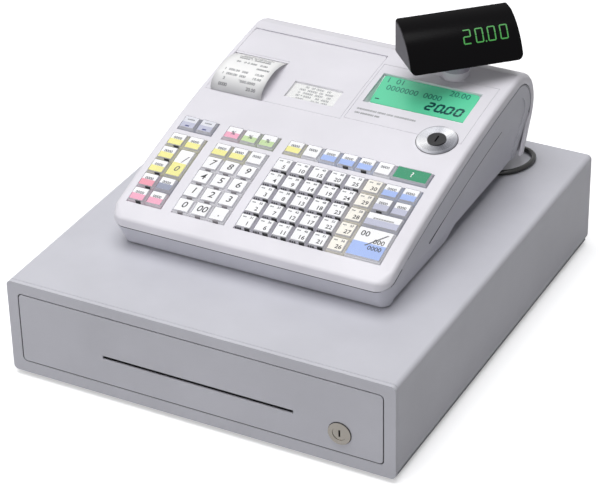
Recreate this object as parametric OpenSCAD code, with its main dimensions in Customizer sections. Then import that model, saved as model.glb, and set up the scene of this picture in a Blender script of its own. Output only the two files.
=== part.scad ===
// Electronic ticket register standing on a steel cash drawer cabinet.
// Millimetres. X to the right, Y away from the clerk, Z up. The origin is under the
// middle of the cabinet, on the plane of its rubber feet.

/* [Cabinet] */
// Width of the cabinet over its side walls
cab_w = 410; // [380:1:440]
// Depth of the cabinet from front frame to back wall
cab_d = 465; // [440:1:490]
// Height of the cabinet without its feet
cab_h = 101; // [98:1:115]
// Thickness of the sheet steel
sheet = 1.2; // [1:0.1:1.5]
// Outer radius of the bends and of the front frame's corners
bend_r = 5; // [4:0.5:6]
// Height of the rubber feet
foot_h = 5; // [4:0.5:8]
// Diameter of the rubber feet
foot_d = 16; // [12:1:20]
// Distance of a foot's centre from the side and from the front or back
foot_inset = 26; // [22:1:40]
// Depth of the front frame's folded rim
rim_d = 4.5; // [4:0.5:6]
// Border of the front frame beside the drawer
border_side = 11.5; // [11.5:0.5:13]
// Border of the front frame above the drawer
border_top = 11.7; // [11:0.1:13]
// Border of the front frame below the drawer
border_bottom = 12.5; // [12:0.5:14]
// Gap around the drawer front
drawer_gap = 1.2; // [1:0.1:1.5]
// Corner radius of the drawer opening
drawer_r = 5; // [4:0.5:6]

/* [Drawer] */
// Thickness of the drawer front
front_t = 1.5; // [1.2:0.1:2]
// Length of the drawer box behind its front
box_len = 420; // [410:5:430]
// Height of the drawer box's sides
box_h = 60; // [56:1:62]
// Length of the slip slot in the drawer front
slot_w = 203; // [150:1:210]
// Height of the slip slot
slot_h = 3.6; // [3:0.2:4]
// Height of the slip slot's middle above the cabinet's underside
slot_z = 43; // [40:1:60]
// Width of the ball slides' channels
slide_w = 10; // [9:0.5:10]
// Height of the ball slides' channels
slide_h = 30; // [26:1:34]
// Diameter of the slides' balls
ball_d = 6; // [5:0.5:6.5]
// Sideways place of the lock
lock_x = 149; // [120:1:155]
// Height of the lock's middle above the cabinet's underside
lock_z = 34.6; // [30:0.1:36]
// Diameter of the lock's outer ring
lock_ring_d = 23; // [20:1:24]
// Diameter of the lock's turning plug
lock_plug_d = 14; // [12:0.5:15]
// How far the lock's ring stands out
lock_proud = 1.5; // [1:0.5:2]

/* [Tray] */
// Number of note compartments
note_n = 5; // [4:1:5]
// Number of coin cups
coin_n = 5; // [4:1:5]
// Length of the note compartments
note_len = 190; // [175:1:195]
// Length of the coin cups
coin_len = 95; // [80:1:105]
// Wall thickness of the tray
tray_t = 2; // [1.5:0.1:2.5]
// Height of the tray
tray_h = 50; // [44:1:52]

/* [Register case] */
// Sideways place of the register on the cabinet
reg_x = 1; // [0:0.5:4]
// Width of the register case
reg_w = 298; // [296:1:304]
// Distance from the cabinet's front to the case's front
reg_front = 96; // [90:1:100]
// Radius of the long arc of the case's top
top_r = 1409; // [1395:1:1425]
// Distance from the cabinet's front to where that arc would level out
crest_y = 565; // [560:1:570]
// Height above the cabinet at which that arc would level out
crest_h = 117.8; // [116:0.2:120]
// Radius of the case's rounded back
rear_r = 41; // [38:1:42]
// Distance from the cabinet's front to the middle of the rounded back
rear_y = 400; // [398:1:402]
// Fillet along the case's upper edges
edge_r = 4.5; // [4:0.5:6]
// Corner radius of the case's front seen from above
corner_r = 16; // [14:1:18]
// Wall thickness of the case
wall = 2.5; // [2:0.1:3]
// Height of the upper case's side band
band = 10.5; // [10:0.5:12]
// Gap round panels let into the case
seam = 0.4; // [0.3:0.1:0.6]
// Shadow gap between the two halves of the case
parting = 0.9; // [0.4:0.1:1.2]
// Depth of the step along the lower case's sides
side_step = 0.8; // [0.5:0.1:1]
// Distance of that step from the top of the case
step_band = 25; // [23:0.5:28]
// How far the lower case's front leans in towards its foot
lean_front = 13; // [10:1:22]
// How far the lower case's sides lean in towards their foot
lean_side = 6.5; // [5:0.5:9]
// Height of the rubber pads under the register
pad_h = 2; // [1.5:0.1:3]
// Height of the raised underside at the back
lift_h = 15; // [14:0.5:17]
// Distance from the cabinet's front to where the underside starts to rise
lift_y = 240; // [235:1:250]

/* [Keys] */
// Sideways spacing of the keys
pitch_x = 19.3; // [19:0.05:19.4]
// Spacing of the key rows up the slope
pitch_s = 19.6; // [19.2:0.05:19.8]
// Gap between neighbouring keys
key_gap = 0.6; // [0.5:0.05:1]
// Gap between the keys and the edge of their opening
key_edge = 0.5; // [0.5:0.05:0.8]
// Height of the key tops over the case
key_rise = 3.6; // [3:0.1:4.5]
// Depth of the key skirts under the case's surface
key_sink = 2; // [1.5:0.1:2.5]
// How much smaller a key's top is than its skirt, each side
key_taper = 1.7; // [1:0.1:2.2]
// Travel of a key
key_travel = 2.5; // [1.5:0.1:3]
// Diameter of a key's stem
stem_d = 5; // [4:0.1:6]
// Clearance around a key's stem
stem_gap = 0.35; // [0.3:0.05:0.6]
// Clearance around a running shaft or pin
running = 0.06; // [0.04:0.01:0.09]
// Depth of the key plate's upper face under the case's surface
bed_depth = 7; // [6.5:0.1:8]
// Thickness of the key plate
bed_t = 2; // [1.5:0.1:3]
// Middle of the left key block from the case's middle
left_x = -119.7; // [-120:0.1:-119]
// Middle of the number block from the case's middle
num_x = -60.4; // [-61:0.1:-60]
// Middle of the department block from the case's middle
dept_x = 55.8; // [55:0.1:57]
// Middle of the five rows, up the slope from the case's front edge
rows_s = 68.7; // [68:0.1:69.5]
// The upper row, up the slope from the case's front edge
upper_s = 133.8; // [133:0.1:134.5]

/* [Top panels] */
// Start of the printer cover and display panel, up the slope
panel_s = 190; // [188.5:0.1:191.5]
// Length of the printer cover up the slope
cover_len = 106; // [104:1:108]
// Left edge of the printer cover from the case's middle
cover_x0 = -142; // [-142:0.5:-138]
// Right edge of the printer cover from the case's middle
cover_x1 = 9; // [7:0.5:10]
// Diameter of the printer cover's hinge barrel
barrel_d = 4.4; // [4:0.1:5]
// Left edge of the display panel from the case's middle
panel_x0 = 12.5; // [12:0.5:14]
// Right edge of the display panel from the case's middle
panel_x1 = 138; // [134:1:140]
// Length of the display panel up the slope, from the printer cover's start
panel_len = 96; // [90:1:100]
// Front edge of the display panel behind the printer cover's
panel_front = 3; // [1:0.5:24]
// Middle of the clerk's display from the case's middle
lcd_x = 72.5; // [71:0.5:74]
// Middle of the clerk's display up the slope
lcd_s = 247; // [246:0.5:248]
// Width of the clerk's display opening
lcd_w = 108; // [100:1:110]
// Length of the clerk's display opening up the slope
lcd_l = 50; // [46:1:52]
// How much steeper the clerk's display lies than the case
lcd_tilt = 9; // [6:1:10]
// Middle of the mode switch from the case's middle
mode_x = 114; // [112:0.5:115]
// Middle of the mode switch up the slope
mode_s = 190; // [188:0.2:191]
// Diameter of the mode switch's ring
mode_ring_d = 41; // [38:1:43]
// Diameter of the mode switch's turning plug
mode_plug_d = 18.6; // [16:0.2:20]
// Width of the receipt paper
paper_w = 58; // [57:0.5:58]
// Middle of the receipt slot from the case's middle
paper_x = -111; // [-112:0.5:-110]
// The receipt slot, up the slope
paper_s = 254.5; // [253:0.5:256]
// How far the receipt lies forward of its slot
paper_out = 66; // [60:1:68]
// How high the receipt curls over the case
paper_rise = 12.2; // [6:0.2:14]
// Middle of the journal window from the case's middle
journal_x = -33; // [-34:0.5:-32]
// Middle of the journal window up the slope
journal_s = 217; // [215:0.5:218]
// Width of the journal window
journal_w = 54; // [50:1:56]
// Length of the journal window up the slope
journal_l = 26; // [22:1:28]

/* [Customer display] */
// Sideways place of the post from the case's middle
post_x = 86; // [85:0.5:87]
// Distance from the cabinet's front to the post
post_y = 384; // [383:0.5:386]
// Diameter of the post
post_d = 28; // [26:0.5:30]
// Turn of the customer display on its post
head_turn = 44; // [0:1:90]
// Width of the customer display
head_w = 117; // [110:1:120]
// Radius of the customer display's curved front
head_r = 57; // [55:0.5:58]
// Depth of that radius's middle behind the post
head_back = 20; // [18:0.5:21]
// Gap between the case and the customer display
head_gap = 21; // [20:0.5:25]

/* [Printer] */
// Diameter of the paper rolls
roll_d = 62; // [50:1:64]
// Diameter of the spindles in the rolls
spindle_d = 11; // [9:0.5:12]
// Diameter of the platen roller
platen_d = 12; // [10:0.5:13]

/* [Cord] */
// Diameter of the drawer cable
cord_d = 5.5; // [4:0.5:6]

/* [Hidden] */
$fn = 64;
eps = 0.01;
big = 500;

// Cabinet
y0 = -cab_d / 2;                       // front plane
y1 = cab_d / 2;                        // back plane
z0 = foot_h;                           // underside
zt = foot_h + cab_h;                   // top
in_w = cab_w - 2 * sheet;              // inside width
op_w = cab_w - 2 * border_side;        // drawer opening
op_h = cab_h - border_top - border_bottom;
op_z = z0 + border_bottom;
face_w = op_w - 2 * drawer_gap;        // drawer front
face_h = op_h - 2 * drawer_gap;
face_z = op_z + drawer_gap;
shim = (cab_w - op_w) / 2 - sheet + 2; // space between side wall and slide
slide_t = 1.6;                         // wall of the slides' channels
slide_gap = 0.6;                       // between the fixed channels and the drawer box
ball_gap = 0.3;                        // around the balls
ball_z = slide_h / 2 - slide_t - ball_gap - ball_d / 2;
rail_half = ball_z - ball_d / 2 - ball_gap; // half height of the drawer's channels
rail_in = 5.8;                         // depth of the drawer's channels
rail_x = in_w / 2 - shim;              // outer face of the fixed channels
ball_x = rail_x - slide_w / 2 - 0.3;
box_w = in_w - 2 * (shim + slide_w + slide_gap);
box_z = face_z + 4;
box_y = y0 + front_t + 8.5;            // front end of the drawer box
box_end = box_y + box_len;             // its back end
rail_z = box_z + box_h / 2;            // middle of the slides
rail_y = y0 + 14;                      // front end of the slides
rail_len = 400;
cage_y = y0 + 200;
cage_len = 130;
pan_gap = 2;                           // side walls' lower edge above the underside
flange_w = 10;                         // inward flanges of the side walls
back_y = y1 - 2 * sheet - 0.3;         // inner face of the back wall
screw_x = in_w / 2 - flange_w / 2;
screw_d = 3.3;
screw_head = 1.5;
tray_w = box_w - 2 * sheet - 2;
tray_len = coin_len + note_len + 3 * tray_t;
tray_y = box_y + sheet + 6;
tray_z = box_z + sheet + 0.3;
note_w = (tray_w - (note_n + 1) * tray_t) / note_n;
coin_w = (tray_w - (coin_n + 1) * tray_t) / coin_n;
cup_r = 30;                            // radius of the coin cups' round floor
clip_y = tray_y + tray_len - 14;
clip_z = tray_z + tray_h - 7;
clip_rod = 4;
clip_len = 75;
clip_rest = 30;                        // slope of the resting clips, degrees
lock_end = y0 + 12;                    // back end of the lock's barrel

// Latch: solenoid and the hook on its upright pin
sol_x = 60;
sol_y = back_y - 15;
sol_z = z0 + 66;
pin_x = sol_x + 41;
pin_y = back_y - 7;
pin_d = 4;
plunger_d = 8;

// Push-out spring
spring_x = -60;
spring_z = z0 + 50;
spring_r = 6;
spring_wire = 0.8;
spring_turns = 8;
spring_steps = 12;                     // rings of corners in a turn

// Register: places along the sloping top, s being the distance up the slope
crest = y0 + crest_y;
top_z0 = zt + crest_h - top_r;
front_y = y0 + reg_front;
function slope_at(y) = asin((crest - y) / top_r);
a_front = slope_at(front_y);
function slope(s) = a_front - s / top_r * 180 / PI;
function top_z(y) = top_z0 + top_r * cos(slope_at(y));
module on_top(x, s, up = 0)
  translate([reg_x + x, crest, top_z0]) rotate([slope(s), 0, 0]) translate([0, 0, top_r + up]) children();
function on_top_y(s, up = 0) = crest - (top_r + up) * sin(slope(s));
function on_top_z(s, up = 0) = top_z0 + (top_r + up) * cos(slope(s));

// Rounded back, tangent to the top
rear_c = [y0 + rear_y, top_z(y0 + rear_y) - rear_r];
back_foot = [y0 + rear_y + 12, zt + pad_h];
back_c = [back_foot[0] - edge_r, back_foot[1]];
back_d = rear_c - back_c;
back_lean = asin((rear_r - edge_r) / norm(back_d)) + atan(back_d[0] / back_d[1]);
// Outer face of the leaning back at height z, and a frame on it pointing outwards
function back_at(z) =
  rear_c[0] + rear_r * cos(back_lean) - (rear_c[1] - rear_r * sin(back_lean) - z) * tan(back_lean);
module on_back(x, z) translate([x, back_at(z), z]) rotate([-90 - back_lean, 0, 0]) children();

case_inset = 0.3;                      // lower case's sides inside the upper's
foot_r = 9;                            // corner radius at the lower case's foot

// Printer cover's hinge
cover_s1 = panel_s + cover_len;
hinge_s = cover_s1 + barrel_d / 2;
hinge_pin_d = 2.4;

// Key block columns and rows
function col_x(mid, n, i) = mid + (i - (n - 1) / 2) * pitch_x;
function row_s(i) = rows_s + (i - 2) * pitch_s;

// Customer display: middle of its curved front, seen from its side
head_z = zt + crest_h - 10 + head_gap; // underside
arc_f = -head_back;
arc_z = head_z - 17;
post_yy = y0 + post_y;
post_s = (a_front - slope_at(post_yy)) * PI / 180 * top_r; // up the slope
guide_t = 2.6;                         // wall of the post's guide tube
spigot_d = 16;
window_t = 2.1;                        // thickness of the curved window
head_corner = 6;                       // radius of its lower corners

ring_rise = 1.8;                       // rim of the mode switch over the case

// Printer
roll_y = front_y + 286.5;
roll_z = zt + lift_h + wall + roll_d / 2 + 4;
platen_y = on_top_y(paper_s) + 2;
platen_z = on_top_z(paper_s) - 24;
reel_y = front_y + 196;
reel_z = zt + 40;
reel_d = 40;
shaft_d = 5;
frame_t = 1.5;
frame_x0 = reg_x + paper_x - paper_w / 2 - 0.6;   // inner faces of its side plates
frame_x1 = reg_x + journal_x + paper_w / 2 + 3;
frame_z = zt + lift_h + wall + 0.3;
step_z = zt + 42;                      // where the left plate steps in
reel_x = reg_x + journal_x - paper_w / 2 - 3;     // reel's inner bracket
paper_t = 0.3;

// Main board
board_w = 230;
board_l = 110;
board_y = front_y + 30;
board_z = zt + 9;

// Drawer cable: out of the case's back, round in a loop and under the case
cord_z = zt + cord_d / 2 + 0.3;
bush_x = 100;
bush_z = zt + 24;
bush_out = 2;                          // thickness of a bush's collar
bush_top = [40, 116, zt + bush_out];
bush_n = [0, cos(back_lean), -sin(back_lean)];
CORD = [
  [bush_x, back_at(bush_z), bush_z] + bush_out * bush_n,
  [100, 199.5, 125.5], [101.5, 205.5, 120.5], [105, 210, 115], [111, 212.5, 110.8],
  [119.5, 213, cord_z], [130, 212, cord_z], [140.5, 210, cord_z], [149, 206, cord_z],
  [155, 198, cord_z], [156.5, 188, cord_z], [155, 178, cord_z], [151, 168, cord_z],
  [144, 159, cord_z], [134, 152, cord_z], [122, 147, cord_z], [110, 142, cord_z],
  [100, 137.4, cord_z], [91, 133.8, cord_z], [81.5, 130.5, cord_z + 0.3], [74, 127.9, cord_z + 1.6],
  [66.4, 125.2, cord_z + 4], [58.9, 122.6, cord_z + 6.6], [51.3, 120, cord_z + 7.8],
  [48, 118.8, cord_z + 7.4], [44.45, 117.55, cord_z + 5.7], [41.66, 116.58, cord_z + 2.7], bush_top
];

// ---------- Helpers ----------
module box(x0, x1, ya, yb, za, zb)
  translate([x0, ya, za]) cube([x1 - x0, yb - ya, zb - za]);
module rod_x(x0, x1, y, z, d)
  translate([x0, y, z]) rotate([0, 90, 0]) cylinder(d = d, h = x1 - x0);
module rod_y(x, ya, yb, z, d)
  translate([x, ya, z]) rotate([-90, 0, 0]) cylinder(d = d, h = yb - ya);
// Rounded rectangle standing upright in the XZ plane, extruded from ya to yb
module upright(w, h, r, ya, yb)
  translate([0, yb, 0]) rotate([90, 0, 0]) linear_extrude(yb - ya) rounded(w, h, r);
module rounded(w, h, r) {
  translate([-w / 2 + r, 0]) square([w - 2 * r, h]);
  translate([-w / 2, r]) square([w, h - 2 * r]);
  for (sx = [-1, 1], z = [r, h - r]) translate([sx * (w / 2 - r), z]) circle(r);
}
module mirrored() {
  children();
  mirror([1, 0, 0]) children();
}

// ---------- Cabinet ----------
// Places of the screws in the back
module at_screws() for (sx = [-1, 1], z = [z0 + 25, zt - 25]) translate([sx * screw_x, 0, z]) children();

// Folded top and side walls with inward flanges below and at the back
module cabinet_shell() color("silver") difference() {
  union() {
    difference() {
      translate([0, 0, z0 + pan_gap])
        upright(cab_w, cab_h - pan_gap, bend_r, y0 + rim_d + 0.4, y1);
      translate([0, 0, z0 + pan_gap + sheet])
        upright(in_w, cab_h - pan_gap - 2 * sheet, bend_r - sheet, y0, y1 + 1);
      box(-in_w / 2 + flange_w, in_w / 2 - flange_w, y0, y1 + 1, z0, z0 + 10);
      // Room for the back wall and the pan
      box(-in_w / 2, in_w / 2, back_y - 0.5, y1 + 1, z0, z0 + pan_gap + bend_r);
    }
    mirrored() box(in_w / 2 - flange_w, in_w / 2 + 0.5, y1 - sheet, y1, z0 + pan_gap + bend_r, zt - bend_r);
  }
  translate([bush_top[0], bush_top[1], zt - 10]) cylinder(d = cord_d + 4.6, h = 20);
  at_screws() rod_y(0, y1 - 5, y1 + 1, 0, screw_d + 0.5);
}

// Bottom pan with its back wall, the brackets and fixed channels of the slides and the
// guide pin of the push-out spring
module cabinet_base() color("gray") {
  difference() {
    union() {
      box(-in_w / 2 + 0.4, in_w / 2 - 0.4, y0 + rim_d + 1, back_y + sheet, z0, z0 + sheet);
      translate([0, 0, z0])
        upright(in_w - 0.8, cab_h - sheet - 0.4, bend_r - sheet, back_y, back_y + sheet);
      mirrored() fixed_rail();
    }
    for (sx = [-1, 1], y = [y0 + foot_inset, y1 - foot_inset])
      translate([sx * (cab_w / 2 - foot_inset), y, z0 - 1]) cylinder(d = 6.4, h = 4);
    at_screws() rod_y(0, y1 - 5, y1 + 1, 0, screw_d + 0.5);
  }
  rod_y(spring_x, back_y - 20, back_y + 0.5, spring_z, 2 * (spring_r - spring_wire) - 1);
}
// Channel open towards the drawer, on brackets that stand on the pan
module fixed_rail() {
  za = rail_z - slide_h / 2;
  zb = rail_z + slide_h / 2;
  difference() {
    box(rail_x - slide_w, rail_x, rail_y, rail_y + rail_len, za, zb);
    box(rail_x - slide_w - 1, rail_x - slide_t, y0, y1, za + slide_t, zb - slide_t);
  }
  for (y = [rail_y + 30, rail_y + 185, rail_y + 340])
    box(rail_x - 0.5, rail_x + slide_t, y, y + 30, z0, rail_z + 8);
}

// Front frame: a plate with a rolled rim, open for the drawer
module cabinet_front() color("lightgray") {
  difference() {
    translate([0, 0, z0]) upright(cab_w, cab_h, bend_r, y0, y0 + rim_d);
    translate([0, 0, z0 + sheet])
      upright(in_w, cab_h - 2 * sheet, bend_r - sheet, y0 + sheet, y0 + rim_d + 1);
    translate([0, 0, op_z]) upright(op_w, op_h, drawer_r, y0 - 1, y0 + rim_d + 1);
  }
}

// Ball retainers of the slides, which travel half as far as the drawer
module slide_cages() color("gold") mirrored() {
  wall_x = rail_x - slide_t - 0.3;
  for (sz = [-1, 1]) {
    z = rail_z + sz * ball_z;
    box(ball_x - 1.2, ball_x + 1.2, cage_y, cage_y + cage_len, z - 1, z + 1);
    box(ball_x, wall_x, cage_y, cage_y + 6, z - 0.8, z + 0.8);
    for (i = [0 : 5]) translate([ball_x, cage_y + 8 + i * 22.8, z]) sphere(d = ball_d, $fn = 24);
  }
  box(wall_x - 0.7, wall_x, cage_y, cage_y + 6, rail_z - ball_z, rail_z + ball_z);
}

// Solenoid that frees the latch, in its bracket on the back wall with the lugs of the hook's pin
module latch_solenoid() color("dimgray") difference() {
  union() {
    box(sol_x - 30, sol_x + 18, sol_y - 9, back_y - 1.5, sol_z - 9, sol_z + 9);
    box(sol_x - 34, sol_x + 48, back_y - 2, back_y - 0.3, sol_z - 14, sol_z + 14);
    for (z = [sol_z - 12, sol_z + 9]) box(pin_x - 5, pin_x + 5, pin_y - 5, back_y - 1, z, z + 3);
  }
  rod_x(sol_x - 40, sol_x + 30, sol_y, sol_z, plunger_d + 2 * running);
  translate([pin_x, pin_y, sol_z - 20]) cylinder(d = pin_d + 2 * running, h = 40);
}
module solenoid_plunger() color("lightsteelblue") {
  rod_x(sol_x - 26, sol_x + 22, sol_y, sol_z, plunger_d);
  rod_x(sol_x + 21, pin_x - 3.5, sol_y, sol_z, plunger_d / 2);
}
// Hook that turns on an upright pin and holds the drawer's striker
module latch_hook() color("goldenrod") translate([pin_x, pin_y, sol_z]) {
  tip = box_end + 2 - pin_y;
  translate([0, 0, -12.5]) cylinder(d = pin_d, h = 25);
  translate([0, 0, -4]) cylinder(d = 2 * pin_d, h = 8);
  box(-3, 0, tip, 0, -3, 3);
  box(-7, -1, tip, tip + 3.5, -3, 3);
}

// Push-out spring on its guide pin between the back wall and the drawer
module eject_spring() color("lightgray") {
  len = back_y - box_end - 0.4 - 2 * spring_wire;
  n = spring_turns * spring_steps;
  pts = [for (i = [0 : n], k = [0 : 5])
    let (a = i * 360 / spring_steps, b = k * 60, r = spring_r + spring_wire * cos(b))
    [spring_x + r * cos(a), back_y - 0.1 - spring_wire - len * i / n + spring_wire * sin(b),
     spring_z + r * sin(a)]];
  side = [for (i = [0 : n - 1], k = [0 : 5])
    [i * 6 + k, (i + 1) * 6 + k, (i + 1) * 6 + (k + 1) % 6, i * 6 + (k + 1) % 6]];
  ends = [[for (k = [0 : 5]) k], [for (k = [5 : -1 : 0]) n * 6 + k]];
  polyhedron(pts, concat(side, ends), convexity = 8);
}

module rubber_feet() color("black") {
  for (sx = [-1, 1], y = [y0 + foot_inset, y1 - foot_inset])
    translate([sx * (cab_w / 2 - foot_inset), y, 0]) {
      cylinder(d = foot_d, h = foot_h);
      translate([0, 0, foot_h - eps]) cylinder(d = 6, h = 3);
    }
}

// Bushes where the cable leaves the register and where it enters the cabinet
module bush(skin_t) {
  translate([0, 0, -skin_t - 3]) cylinder(d = cord_d + 4, h = skin_t + 4);
  translate([0, 0, 0.1]) cylinder(d = cord_d + 8, h = bush_out - 0.1);
}
module cable_bushes() color("black") {
  on_back(bush_x, bush_z) bush(wall);
  translate([bush_top[0], bush_top[1], zt]) bush(sheet);
}

// Cable swept along CORD with one ring of eight corners at each point
function unit(v) = v / norm(v);
function tangent(p, i) =
  i == 0 ? bush_n : i == len(p) - 1 ? [0, 0, -1] : unit(p[i + 1] - p[i - 1]);
// Carries the ring's side direction from one tangent to the next without twist
function frames(p, i, u) = i == len(p) ? [] :
  let (t = tangent(p, i), v = unit(u - (u * t) * t)) concat([v], frames(p, i + 1, v));
module tube(p, d, sides) {
  us = frames(p, 0, [1, 0, 0]);
  n = len(p);
  pts = [for (i = [0 : n - 1], k = [0 : sides - 1])
    let (t = tangent(p, i), u = us[i], w = cross(t, u), a = k * 360 / sides)
    p[i] + (u * cos(a) + w * sin(a)) * d / 2];
  side = [for (i = [0 : n - 2], k = [0 : sides - 1])
    let (m = (k + 1) % sides) [(i + 1) * sides + k, (i + 1) * sides + m, i * sides + m, i * sides + k]];
  ends = [[for (k = [0 : sides - 1]) k], [for (k = [sides - 1 : -1 : 0]) (n - 1) * sides + k]];
  polyhedron(pts, concat(side, ends), convexity = 6);
}
module drawer_cable() color([0.05, 0.05, 0.05]) tube(CORD, cord_d, 8);

// ---------- Drawer ----------
// Pressed front with its returned edges, slip slot and lock hole
module drawer_front() color("lightgray") difference() {
  union() {
    translate([0, 0, face_z]) difference() {
      upright(face_w, face_h, drawer_r - drawer_gap, y0, y0 + 8);
      translate([0, 0, front_t])
        upright(face_w - 2 * front_t, face_h - 2 * front_t, drawer_r - drawer_gap - front_t,
          y0 + front_t, y0 + 9);
    }
    // Stamped lip under the slot
    translate([0, y0 + front_t, z0 + slot_z - slot_h / 2 - 1.6])
      rotate([0, 90, 0]) cylinder(r = 1.6, h = slot_w, center = true);
  }
  box(-slot_w / 2, slot_w / 2, y0 - 1, y0 + 5, z0 + slot_z - slot_h / 2, z0 + slot_z + slot_h / 2);
  rod_y(lock_x, y0 - 1, y0 + 5, z0 + lock_z, lock_ring_d - 4);
}

// Folded box with the drawer's slide channels and the latch's striker
module drawer_box() color("darkgray") {
  top = box_z + box_h;
  difference() {
    box(-box_w / 2, box_w / 2, box_y, box_end, box_z, top);
    box(-box_w / 2 + sheet, box_w / 2 - sheet, box_y + sheet, box_end - sheet, box_z + sheet, top + 1);
    rod_y(lock_x, box_y - 1, box_y + 5, z0 + lock_z, lock_plug_d + 8);
    box(-slot_w / 2 - 4, slot_w / 2 + 4, box_y - 1, box_y + 5, z0 + slot_z - 6, z0 + slot_z + 8);
  }
  // Tabs to the drawer front
  for (x = [-150, 0, 110])
    box(x - 15, x + 15, y0 + front_t, box_y + 0.5, box_z + 2, box_z + 2 + sheet);
  mirrored() drawer_rail();
  // Striker for the latch
  box(sol_x + 26, sol_x + 28, box_end - 1, box_end + 14, sol_z - 5, sol_z + 5);
  box(sol_x + 26, sol_x + 33, box_end + 11, box_end + 14, sol_z - 5, sol_z + 5);
}
module drawer_rail() difference() {
  x0 = box_w / 2;
  box(x0 - eps, x0 + rail_in, rail_y + 2, rail_y + rail_len - 8, rail_z - rail_half, rail_z + rail_half);
  box(x0 + slide_t, x0 + rail_in + 1, y0, y1, rail_z - rail_half + slide_t, rail_z + rail_half - slide_t);
}

// One-piece till insert with note compartments behind and round-bottomed coin cups in front
function cell_x(i, w) = -tray_w / 2 + tray_t + i * (w + tray_t);
module cash_tray() color([0.15, 0.15, 0.17]) difference() {
  box(-tray_w / 2, tray_w / 2, tray_y, tray_y + tray_len, tray_z, tray_z + tray_h);
  for (i = [0 : coin_n - 1]) translate([cell_x(i, coin_w), tray_y + tray_t, tray_z]) coin_cup();
  for (i = [0 : note_n - 1])
    box(cell_x(i, note_w), cell_x(i, note_w) + note_w, tray_y + coin_len + 2 * tray_t,
      tray_y + tray_len - tray_t, tray_z + tray_t, tray_z + tray_h + 1);
  // Seats of the clip rod, open above
  rod_x(-tray_w / 2 - 1, tray_w / 2 + 1, clip_y, clip_z, clip_rod + 2 * running);
  box(-tray_w / 2 - 1, tray_w / 2 + 1, clip_y - 1.6, clip_y + 1.6, clip_z, clip_z + tray_h);
}
module coin_cup() {
  mid = tray_t + cup_r + 4;
  intersection() {
    cube([coin_w, coin_len, tray_h + 1]);
    union() {
      translate([-1, coin_len / 2, mid]) rotate([0, 90, 0]) cylinder(r = cup_r, h = coin_w + 2);
      translate([-1, coin_len / 2 - cup_r, mid]) cube([coin_w + 2, 2 * cup_r, tray_h]);
    }
  }
  translate([0, 0, 22]) cube([coin_w, coin_len, tray_h]);
}
// Sprung note clips, one over each note compartment, on a common rod
module note_clips() color("whitesmoke") {
  rod_x(-tray_w / 2, tray_w / 2, clip_y, clip_z, clip_rod);
  for (i = [0 : note_n - 1])
    translate([cell_x(i, note_w) + note_w / 2, clip_y, clip_z]) rotate([clip_rest, 0, 0]) {
      rod_x(-9, 9, 0, 0, clip_rod + 3);
      box(-7, 7, -clip_len + 2, 0, 1.2, 2.8);
      rod_x(-9, 9, -clip_len + 2.5, 2, 5);
    }
}

module lock_barrel() color("gainsboro") difference() {
  union() {
    rod_y(lock_x, y0 - lock_proud, y0 - 0.1, z0 + lock_z, lock_ring_d);
    rod_y(lock_x, y0 - 0.5, lock_end, z0 + lock_z, lock_ring_d - 4.4);
  }
  rod_y(lock_x, y0 - 5, y0 + 30, z0 + lock_z, lock_plug_d + 2 * running);
}
module lock_plug() color("silver") {
  difference() {
    rod_y(lock_x, y0 - lock_proud + 0.6, lock_end + 2, z0 + lock_z, lock_plug_d);
    box(lock_x - 0.9, lock_x + 0.9, y0 - 5, y0 + 10, z0 + lock_z - 3.6, z0 + lock_z + 3.6);
  }
  // Cam behind the barrel
  box(lock_x - 6, lock_x + 6, lock_end + 0.4, lock_end + 2.4, z0 + lock_z - 6, z0 + lock_z + 20);
}

// ---------- Register case ----------
// Outside of the whole case, shrunk by t: spheres along its upper edges and rounded discs
// at its front corners
module case_body(t) {
  r = edge_r - t;
  x = reg_w / 2 - edge_r;
  cr = top_r - edge_r;
  hull() for (sx = [-1, 1]) {
    for (s = [corner_r : 28 : 300])
      let (a = slope(s), y = crest - cr * sin(a))
        if (y < rear_c[0] - 6) translate([reg_x + sx * x, y, top_z0 + cr * cos(a)]) sphere(r, $fn = 24);
    for (i = [0 : 9])
      let (a = -3 - i * (87 + back_lean) / 9)
        translate([reg_x + sx * x, rear_c[0], rear_c[1]])
          rotate([a, 0, 0]) translate([0, 0, rear_r - edge_r]) sphere(r, $fn = 24);
    translate([reg_x + sx * x, back_c[0], back_c[1]]) sphere(r, $fn = 16);
    for (z = [top_z(front_y) - edge_r, zt + edge_r])
      translate([reg_x + sx * (reg_w / 2 - corner_r), front_y + corner_r, z])
        rotate_extrude($fn = 40) translate([corner_r - edge_r, 0]) circle(r, $fn = 24);
  }
}
// Side view of everything that lies inside the band, inset by d from top and back
module inside_band(d) {
  intersection() {
    translate([crest, top_z0]) circle(top_r - d, $fn = 180);
    translate([front_y - 60, zt - 60]) square([rear_c[0] - front_y + 55, 220]);
  }
  translate(rear_c) circle(rear_r - d);
  polygon([[front_y - 60, zt - 60], [front_y - 60, zt], [rear_c[0], rear_c[1] + 10],
    [rear_c[0] + (rear_r - d) * cos(back_lean), rear_c[1] - (rear_r - d) * sin(back_lean)],
    [back_at(zt - 60) - d / cos(back_lean), zt - 60]]);
}
module inside_band_prism(d)
  translate([reg_x - big / 2, 0, 0]) rotate([90, 0, 90]) linear_extrude(big) inside_band(d);

// Rectangular cut through the top, standing on its slope
module top_cut(x0, x1, s0, s1, deep = 14)
  on_top((x0 + x1) / 2, (s0 + s1) / 2) cube([x1 - x0, s1 - s0, 2 * deep], center = true);
module key_window(mid, cols, s0, rows) {
  w = cols * pitch_x - key_gap + 2 * key_edge;
  l = rows * pitch_s - key_gap + 2 * key_edge;
  top_cut(mid - w / 2, mid + w / 2, s0 - l / 2, s0 + l / 2);
}

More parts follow.
